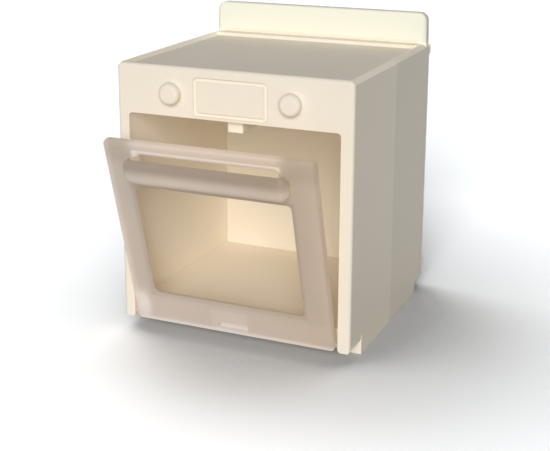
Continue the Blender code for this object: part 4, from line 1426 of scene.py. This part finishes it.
@dataclass
class RearCover:
    """Inset plate that closes the rear, with four ears and two screws."""

    screw: Screw
    face: float = 0.0574
    thick: float = 0.0012
    corner: float = 0.0005
    edge: float = 0.0002
    ear: float = 0.0019
    ear_inset: float = 0.0002
    upper: Span = (0.0647, 0.0673)
    upper_thick: float = 0.0006
    lower: Span = (0.0053, 0.0076)
    lower_thick: float = 0.0012
    root: float = 0.0030
    boss: float = 0.0019
    boss_place: float = 0.0190
    boss_height: float = 0.03307
    hole: float = 0.0010

    def bosses(self, housing: Housing) -> List[Item]:
        """Two bosses on the back of the cavity."""
        start = housing.cavity.depth + housing.cavity.wall - EMBED
        return Bench.rods("boss", pair(self.boss_place, start, self.boss_height), BACK, self.boss,
                          housing.cover_seat - start, BOSS_SIDES)

    def boss_holes(self, housing: Housing) -> List[Item]:
        """Cutters of the blind holes in the bosses."""
        start = housing.cavity.depth + housing.cavity.wall + SEAT
        return self.bored("boss_hole", start, housing.cover_seat - start + OVERRUN)

    def bored(self, name: str, start: float, length: float) -> List[Item]:
        """Cutters of the two screw holes from a distance behind the front face."""
        return Bench.rods(name, pair(self.boss_place, start, self.boss_height), BACK, self.hole, length)

    def ears(self, housing: Housing) -> List[Item]:
        """Four corner ears that rest on the housing's rear edge.

        Args:
            housing: The housing that they rest on.

        Returns:
            The ears.
        """
        inset = self.ear_inset
        root_out = housing.core_half - SEAT - inset
        root_in = root_out - self.ear
        near = housing.depth + SEAT
        post_top = housing.core_top - SEAT - inset
        made = []
        for side in SIDES:
            for (low, high), (post_low, post_high), thick in (
                    (self.upper, (post_top - self.root, post_top), self.upper_thick),
                    (self.lower, (self.lower[0] + inset, self.lower[1] - inset), self.lower_thick)):
                post = Bench.flank("post", side, (root_in, self.face - EMBED, post_low),
                                   (root_out, near + thick / 2, post_high))
                tab = Bench.flank("tab", side, (root_in + inset, near, low),
                                  (housing.rear_half, near + thick, high))
                Bench.fillet(tab, behind(near + thick), self.edge, steps=3)
                made += [post, tab]
        return made

    def build(self, housing: Housing) -> Item:
        """Make the cover.

        Args:
            housing: The housing that it closes.

        Returns:
            The cover.
        """
        half = housing.core_half - SEAT
        item = Bench.block("back_plate", at(-half, self.face - self.thick, housing.core_floor + SEAT),
                           at(half, self.face, housing.core_top - SEAT))
        Bench.fillet(item, runs(Axis.DEEP), self.corner, steps=6)
        Bench.fillet(item, behind(self.face), self.edge, steps=3)
        Bench.join(item, *self.ears(housing))
        Bench.cut(item, *self.bored("hole", self.face - self.thick - OVERRUN, self.thick + 2 * OVERRUN))
        return Bench.smooth(item)

    def screws(self) -> List[Item]:
        """Make the two screws that enter from behind."""
        places = pair(self.boss_place, self.face + SEAT, self.boss_height)
        return [self.screw.build("fine_cover_screw_" + name, place, AHEAD)
                for name, place in zip(("left", "right"), places)]


@dataclass
class Door:
    """Frosted door with its window, finger slot, handle bar and thick pads at its foot."""

    hinge: Hinge
    half: float = 0.0262
    thick: float = 0.0020
    length: float = 0.0513
    foot: float = 0.0033
    corner: float = 0.0012
    edge: float = 0.0005
    window_place: float = -0.0003
    window_half: float = 0.01975
    window: Span = (0.0090, 0.0396)
    window_corner: float = 0.0011
    window_edge: float = 0.0003
    window_flare: float = 0.0011
    handle_place: float = -0.0005
    slot_half: float = 0.0174
    slot: Span = (0.0429, 0.0478)
    slot_corner: float = 0.0010
    slot_edge: float = 0.0016
    handle_half: float = 0.0204
    handle: Span = (0.0415, 0.0476)
    handle_reach: float = 0.0028
    handle_corner: float = 0.0020
    handle_round: float = 0.0018
    handle_wall: float = 0.0015
    pad_thick: float = 0.0012
    middle_pad: Span = (0.00465, 0.0066)
    corner_pad: Span = (0.0033, 0.0058)
    pad_corner: float = 0.0007
    snap_half: float = 0.00375
    snap: Span = (0.0020, 0.0032)

    def window_cutter(self) -> Item:
        """Cutter of the window.

        Returns:
            The cutter.
        """
        low, high = (self.foot + place for place in self.window)
        flat = self.thick - self.window_flare
        rings = [(-OVERRUN, 0.0), (flat, 0.0), (self.thick + OVERRUN, self.window_flare + OVERRUN)]
        item = Bench.loft("window", [(place, self.window_half + spread, low - spread, high + spread,
                                      self.window_corner + spread) for place, spread in rings])
        return Bench.move(item, self.window_place)

    def slot_cutter(self) -> Item:
        """Cutter of the finger slot: it flares towards the front and runs up behind the handle bar.

        Returns:
            The cutter.
        """
        low, high = (self.foot + place for place in self.slot)
        rings = [(self.handle_wall - self.handle_reach, self.slot_edge)]
        rings += [(self.slot_edge * deep, self.slot_edge * (1 - wide)) for deep, wide in quarter(FINE_STEPS)]
        rings.append((self.thick + OVERRUN, 0.0))
        item = Bench.loft("slot", [(place, self.slot_half + spread, low, high + spread,
                                    self.slot_corner + spread) for place, spread in rings])
        return Bench.move(item, self.handle_place)

    def build(self, mouth_half: float) -> Item:
        """Make the door in its closed place, then lean it out to its rest.

        Args:
            mouth_half: Half-width of the mouth.

        Returns:
            The door.
        """
        foot = self.foot
        item = Bench.block("frosted_door", at(-self.half, 0, foot),
                           at(self.half, self.thick, foot + self.length))
        Bench.fillet(item, runs(Axis.DEEP), self.corner, steps=8)
        Bench.fillet(item, either(behind(0), behind(self.thick)), self.edge, steps=5)
        bar = Bench.block("bar", at(-self.handle_half, -self.handle_reach, foot + self.handle[0]),
                          at(self.handle_half, EMBED, foot + self.handle[1]))
        Bench.fillet(bar, runs(Axis.DEEP), self.handle_corner, steps=8)
        Bench.fillet(bar, behind(-self.handle_reach), self.handle_round, steps=8)
        Bench.move(bar, self.handle_place)
        Bench.join(item, bar, *self.pads(), *self.hinge.trunnions(mouth_half, self.half))
        Bench.cut(item, self.window_cutter(), self.slot_cutter())
        snap = Bench.block("snap", at(-self.snap_half, -OVERRUN, foot + self.snap[0]),
                           at(self.snap_half, self.thick + self.pad_thick + OVERRUN, foot + self.snap[1]))
        Bench.cut(item, snap)
        self.soften(item)
        turn = Matrix.Rotation(REST_TILT, 4, "X")
        item.matrix_world = Matrix.Translation(self.hinge.place) @ turn @ Matrix.Translation(-self.hinge.place)
        Bench.settle(item)
        return Bench.smooth(item)

    def pads(self) -> List[Item]:
        """Three thick pads low on the inner face.

        Returns:
            The pads.
        """
        low = self.foot + self.edge
        far = self.thick + self.pad_thick
        side = self.half - self.edge
        width, top = self.corner_pad
        middle, middle_top = self.middle_pad
        spans = ((-middle, middle, middle_top), (-side, width - side, top), (side - width, side, top))
        made = []
        for left, right, height in spans:
            pad = Bench.block("pad", at(left, self.thick - EMBED, low), at(right, far, self.foot + height))
            Bench.fillet(pad, runs(Axis.DEEP), self.pad_corner, steps=6)
            made.append(Bench.fillet(pad, behind(far), self.edge / 2, steps=4))
        return made

    def soften(self, item: Item) -> None:
        """Round the rim of the window on the front face.

        Args:
            item: The door in its closed place.
        """
        low, high = self.window
        left, right = self.window_place - self.window_half, self.window_place + self.window_half
        window = inside(at(left, 0, self.foot + low), at(right, 0, self.foot + high))
        Bench.fillet(item, both(behind(0), window), self.window_edge, steps=4)


@dataclass
class Catch:
    """Stop block under the mouth's upper edge with its peg."""

    half: float = 0.00195
    depth: float = 0.0083
    start: float = 0.0023
    low: float = 0.0528
    high: float = 0.0553
    edge: float = 0.0003
    peg_half: float = 0.0010
    peg_depth: float = 0.0040

    def hole(self, cavity: Cavity) -> List[Item]:
        """Cutter of the hole for the peg."""
        middle = self.start + self.depth / 2
        reach = self.peg_depth / 2 + SEAT
        return [Bench.block("peg_hole", at(-self.peg_half - SEAT, middle - reach, cavity.top - OVERRUN),
                            at(self.peg_half + SEAT, middle + reach, cavity.top + cavity.wall + OVERRUN))]

    def build(self) -> Item:
        """Make the catch.

        Returns:
            The catch.
        """
        item = Bench.block("catch_block", at(-self.half, self.start, self.low),
                           at(self.half, self.start + self.depth, self.high))
        Bench.fillet(item, unless(level(self.high)), self.edge, steps=5)
        middle = self.start + self.depth / 2
        peg = Bench.block("peg", at(-self.peg_half, middle - self.peg_depth / 2, self.high - EMBED),
                          at(self.peg_half, middle + self.peg_depth / 2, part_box("door_catch")[1].z))
        return Bench.smooth(Bench.join(item, peg))


@dataclass
class Knobs:
    """Two round knobs, their stems and the split rings that keep them."""

    place: float = 0.015219
    height: float = 0.0615
    radius: float = 0.00265
    reach: float = 0.0024
    lift: float = 0.0007
    round: float = 0.0011
    back_round: float = 0.0001
    collar: float = 0.0040
    collar_top: float = 0.0025
    collar_rise: float = 0.0006
    stem: float = 0.00095
    stem_end: float = 0.0034
    clip: float = 0.0019
    clip_thick: float = 0.0006

    def bores(self, wall: float) -> List[Item]:
        """Cutters of the two bores in the front panel."""
        return Bench.rods("knob_bore", pair(self.place, -OVERRUN, self.height), BACK, self.stem + RUNNING,
                          wall + 2 * OVERRUN, BOSS_SIDES)

    def collars(self) -> List[Item]:
        """Two low trumpet-shaped collars on the front panel."""
        profile = [(self.collar, -EMBED)]
        profile += [(self.collar - (self.collar - self.collar_top) * narrow, self.collar_rise * rise)
                    for rise, narrow in quarter(FINE_STEPS)]
        return [Bench.turned("collar", place, AHEAD, profile) for place in pair(self.place, 0, self.height)]

    def knob(self, name: str, side: int) -> Item:
        """Make one knob with its stem.

        Args:
            name: Name of the piece.
            side: -1 for the left one and 1 for the right one.

        Returns:
            The knob.
        """
        x = side * self.place
        item = Bench.rod(name, at(x, -self.lift, self.height), AHEAD, self.radius,
                         self.reach - self.lift, sides=96)
        Bench.fillet(item, behind(-self.reach), self.round, steps=10)
        Bench.fillet(item, behind(-self.lift), self.back_round, steps=3)
        stem = Bench.rod("stem", at(x, self.stem_end, self.height), AHEAD, self.stem,
                         self.stem_end + self.lift + EMBED, sides=48)
        return Bench.smooth(Bench.join(item, stem))

    def ring(self, name: str, side: int, wall: float) -> Item:
        """Make one split ring.

        Args:
            name: Name of the piece.
            side: -1 for the left one and 1 for the right one.
            wall: Thickness of the front panel.

        Returns:
            The ring.
        """
        x = side * self.place
        start = wall + SEAT
        item = Bench.rod(name, at(x, start, self.height), BACK, self.clip, self.clip_thick, sides=64)
        bore = Bench.rod("bore", at(x, start - OVERRUN, self.height), BACK, self.stem + RUNNING,
                         self.clip_thick + 2 * OVERRUN, sides=48)
        end = start + self.clip_thick + OVERRUN
        split = Bench.block("split", at(x - self.stem / 2, start - OVERRUN, self.height),
                            at(x + self.stem / 2, end, self.height + 2 * self.clip))
        return Bench.smooth(Bench.cut(item, bore, split))


@dataclass
class Display:
    """Blank display plate pressed into its pocket, with a soft groove round a flush middle."""

    place: float = -0.00025
    half: float = 0.0092
    low: float = 0.05675
    high: float = 0.0654
    corner: float = 0.0009
    groove: float = 0.0010
    groove_depth: float = 0.00046
    thick: float = 0.0008
    fill: float = 0.00028
    peg: float = 0.0007
    peg_place: float = 0.00595
    peg_end: float = 0.0024
    groove_steps: int = 7

    def pegs(self, name: str, deep: float, radius: float, length: float) -> List[Item]:
        """Two rods where the pegs are, from a distance behind the front face."""
        height = (self.low + self.high) / 2
        return Bench.rods(name, [at(self.place + side * self.peg_place, deep, height) for side in SIDES], BACK,
                          radius, length)

    def pocket(self) -> List[Item]:
        """Cutters of the pocket and its two peg holes."""
        pocket = Bench.block("pocket", at(self.place - self.half - SEAT, -OVERRUN, self.low - SEAT),
                             at(self.place + self.half + SEAT, self.thick + SEAT, self.high + SEAT))
        Bench.fillet(pocket, runs(Axis.DEEP), self.corner + SEAT, steps=8)
        return [pocket, *self.pegs("peg_hole", 0, self.peg + SEAT, self.peg_end + 2 * SEAT)]

    def ring(self, deep: float, inset: float) -> Ring:
        """Outline of the plate at one depth, drawn in from its edge."""
        grow = self.fill - inset
        return (deep, self.half + grow, self.low - grow, self.high + grow, max(self.corner + grow, 0.0002))

    def build(self) -> Item:
        """Make the display: a plate that fills its pocket, with a round groove along its edge.

        Returns:
            The display.
        """
        item = Bench.loft("display_plate", [self.ring(0.0, 0.0), self.ring(self.thick, 0.0)])
        bowl, island = [self.ring(-OVERRUN, 0.0)], [self.ring(0.0, self.groove)]
        for inset, deep in quarter(self.groove_steps)[1:]:
            bowl.append(self.ring(self.groove_depth * deep, self.groove / 2 * inset))
            island.append(self.ring(self.groove_depth * deep, self.groove - self.groove / 2 * inset))
        island[-1] = self.ring(self.groove_depth + EMBED, self.groove / 2)
        Bench.cut(item, Bench.loft("bowl", bowl))
        Bench.join(item, Bench.loft("island", island))
        Bench.move(item, self.place)
        start = self.thick - EMBED
        return Bench.smooth(Bench.join(item, *self.pegs("peg", start, self.peg, self.peg_end - start)))


@dataclass
class Oven:
    """The whole toy oven: its pieces in the order in which they are made."""

    cream: Finish
    knob_cream: Finish
    frosted: Finish
    nylon: Finish
    steel: Finish

    def build(self) -> List[Piece]:
        """Make every piece.

        Returns:
            The finished pieces.
        """
        cavity = Cavity()
        screw = Screw()
        hinge = Hinge()
        base_screws, cover = BaseScrews(screw), RearCover(screw)
        knobs, display, catch, floor = Knobs(), Display(), Catch(), OvenFloor()
        housing = Housing(cavity)
        shell = housing.build(base_screws, knobs, display, catch, hinge, cover, floor)
        fixed = {"body_housing": shell, "oven_floor": floor.build(cavity),
                 "base_plate": BasePlate().build(cavity, floor, base_screws),
                 "rear_cover": cover.build(housing), "door_catch": catch.build(),
                 "display_panel": display.build()}
        pieces = [Piece(item, node, Body.OVEN, Slot.CREAM, self.cream) for node, item in fixed.items()]
        door = Door(hinge).build(cavity.half_width)
        pieces.append(Piece(door, "door", Body.DOOR, Slot.FROSTED, self.frosted))
        for name, side, body in (("left", -1, Body.LEFT_KNOB), ("right", 1, Body.RIGHT_KNOB)):
            knob = knobs.knob(f"{name}_knob", side)
            pieces.append(Piece(knob, f"knob_{name}", body, Slot.CREAM, self.knob_cream))
            ring = knobs.ring(f"{name}_split_ring", side, housing.panel_wall)
            pieces.append(Piece(ring, f"knob_clip_{name}", body, Slot.NYLON, self.nylon))
        for item in base_screws.build() + cover.screws():
            pieces.append(Piece(item, item.name.replace("fine_", ""), Body.OVEN, Slot.STEEL, self.steel))
        return pieces


@dataclass
class Lamp:
    """A soft distant lamp, given by where it stands and how strong and wide it is."""

    name: str
    azimuth: float
    elevation: float
    strength: float
    spread: float = 35.0

    def hang(self) -> Item:
        """Put the lamp in the scene.

        Returns:
            The lamp.
        """
        light = bpy.data.lights.new(self.name, "SUN")
        light.energy = self.strength
        light.angle = math.radians(self.spread)
        item = bpy.data.objects.new(self.name, light)
        bpy.context.scene.collection.objects.link(item)
        item.rotation_euler = (math.radians(90 - self.elevation), 0, math.radians(self.azimuth))
        return item


@dataclass
class Studio:
    """Plain white studio: camera, lamps, world and floor."""

    azimuth: float = 23.270
    elevation: float = 15.171
    roll: float = 0.170
    lens: float = 74.155
    sensor: float = 36.0
    nearest: float = 0.01
    place: Vector = field(default_factory=lambda: Vector((0.110135, -0.251256, 0.115785)))
    shift: Span = (-0.00443, -0.11904)
    floor_size: float = 6.0
    floor_shade: float = 0.8
    floor_tint: Colour = (0.978, 1.0, 1.022)
    floor_gain: float = 3.05
    # painted shadow on the floor: how far the occlusion reaches, which way it leans, how deep it goes and the
    # least level it leaves
    shadow_reach: float = 0.09
    shadow_lean: Vector = field(default_factory=lambda: Vector((-0.25, 0.0, 1.0)).normalized())
    shadow_depth: float = 1.95
    shadow_least: float = 0.68
    shadow_samples: int = 16
    lamps: Tuple[Lamp, ...] = (
        Lamp("key_lamp", 15.0, 21.0, 1.88),
        Lamp("side_lamp", 30.0, 20.0, 0.66),
        Lamp("left_lamp", -40.0, 20.0, 0.16),
        Lamp("back_lamp", -120.0, 50.0, 0.30),
    )

    def build(self) -> None:
        """Set up the whole studio."""
        self.camera()
        self.world()
        self.floor()
        for lamp in self.lamps:
            lamp.hang()
        bpy.context.scene.view_settings.view_transform = "Standard"

    def camera(self) -> None:
        """Place the camera where the photograph was taken from."""
        lens = bpy.data.cameras.new("camera")
        lens.lens = self.lens
        lens.sensor_width = self.sensor
        lens.shift_x, lens.shift_y = self.shift
        lens.clip_start = self.nearest
        item = bpy.data.objects.new("camera", lens)
        bpy.context.scene.collection.objects.link(item)
        item.location = self.place
        aim = Euler((math.radians(90 - self.elevation), 0, math.radians(self.azimuth))).to_matrix()
        item.rotation_euler = (aim @ Matrix.Rotation(math.radians(self.roll), 3, "Z")).to_euler()
        bpy.context.scene.camera = item

    def world(self) -> None:
        """Dark room for the lamps, and white where the camera or a gloss sees past the oven."""
        world = bpy.data.worlds.new("studio")
        bpy.context.scene.world = world
        graph = Graph(world)
        graph.close(graph.node("ShaderNodeBackground", inputs={"Color": WHITE, "Strength": graph.seen()}),
                    "ShaderNodeOutputWorld")

    def floor(self) -> None:
        """Wide pale floor that turns white in the picture but keeps the oven's shadow, which the lamps cast and
        a painted shadow from ambient occlusion deepens.
        """
        Bench.deselect()
        bpy.ops.mesh.primitive_plane_add(size=self.floor_size, location=(0, 0, CAD_BOX[0][2]))
        item = bpy.context.object
        item.name = "studio_floor"
        graph = Graph(bpy.data.materials.new("studio_floor"))
        # painted shadow: ambient occlusion round the oven darkens the floor's colour where the camera sees it
        shade = graph.node("ShaderNodeAmbientOcclusion", {"samples": self.shadow_samples},
                           {"Distance": self.shadow_reach, "Normal": graph.join(*self.shadow_lean)}, "AO")
        picture = (shade.power(self.shadow_depth) * self.floor_gain).most(self.shadow_least)
        light = self.floor_shade + graph.seen() * (picture - self.floor_shade)
        colour = graph.join(*[light * tint for tint in self.floor_tint])
        graph.close(graph.node("ShaderNodeBsdfDiffuse", inputs={"Color": colour}))
        item.data.materials.append(graph.owner)


def main() -> None:
    """Make the oven's pieces, dress them and set up the studio."""
    logging.basicConfig(level=logging.INFO, format="%(name)s %(message)s")
    cream = SatinPlastic("cream_plastic", CREAM).make()
    knob_cream = SatinPlastic("cream_knob_plastic", CREAM).make()
    nylon = SatinPlastic("clip_nylon", NATURAL, roughness=0.5).make()
    frosted = FrostedPlastic("frosted_plastic", Hinge().place).make()
    oven = Oven(cream, knob_cream, frosted, nylon, ScrewSteel("screw_steel").make())
    for piece in oven.build():
        piece.seat()
    Studio().build()


if __name__ == "__main__":
    main()
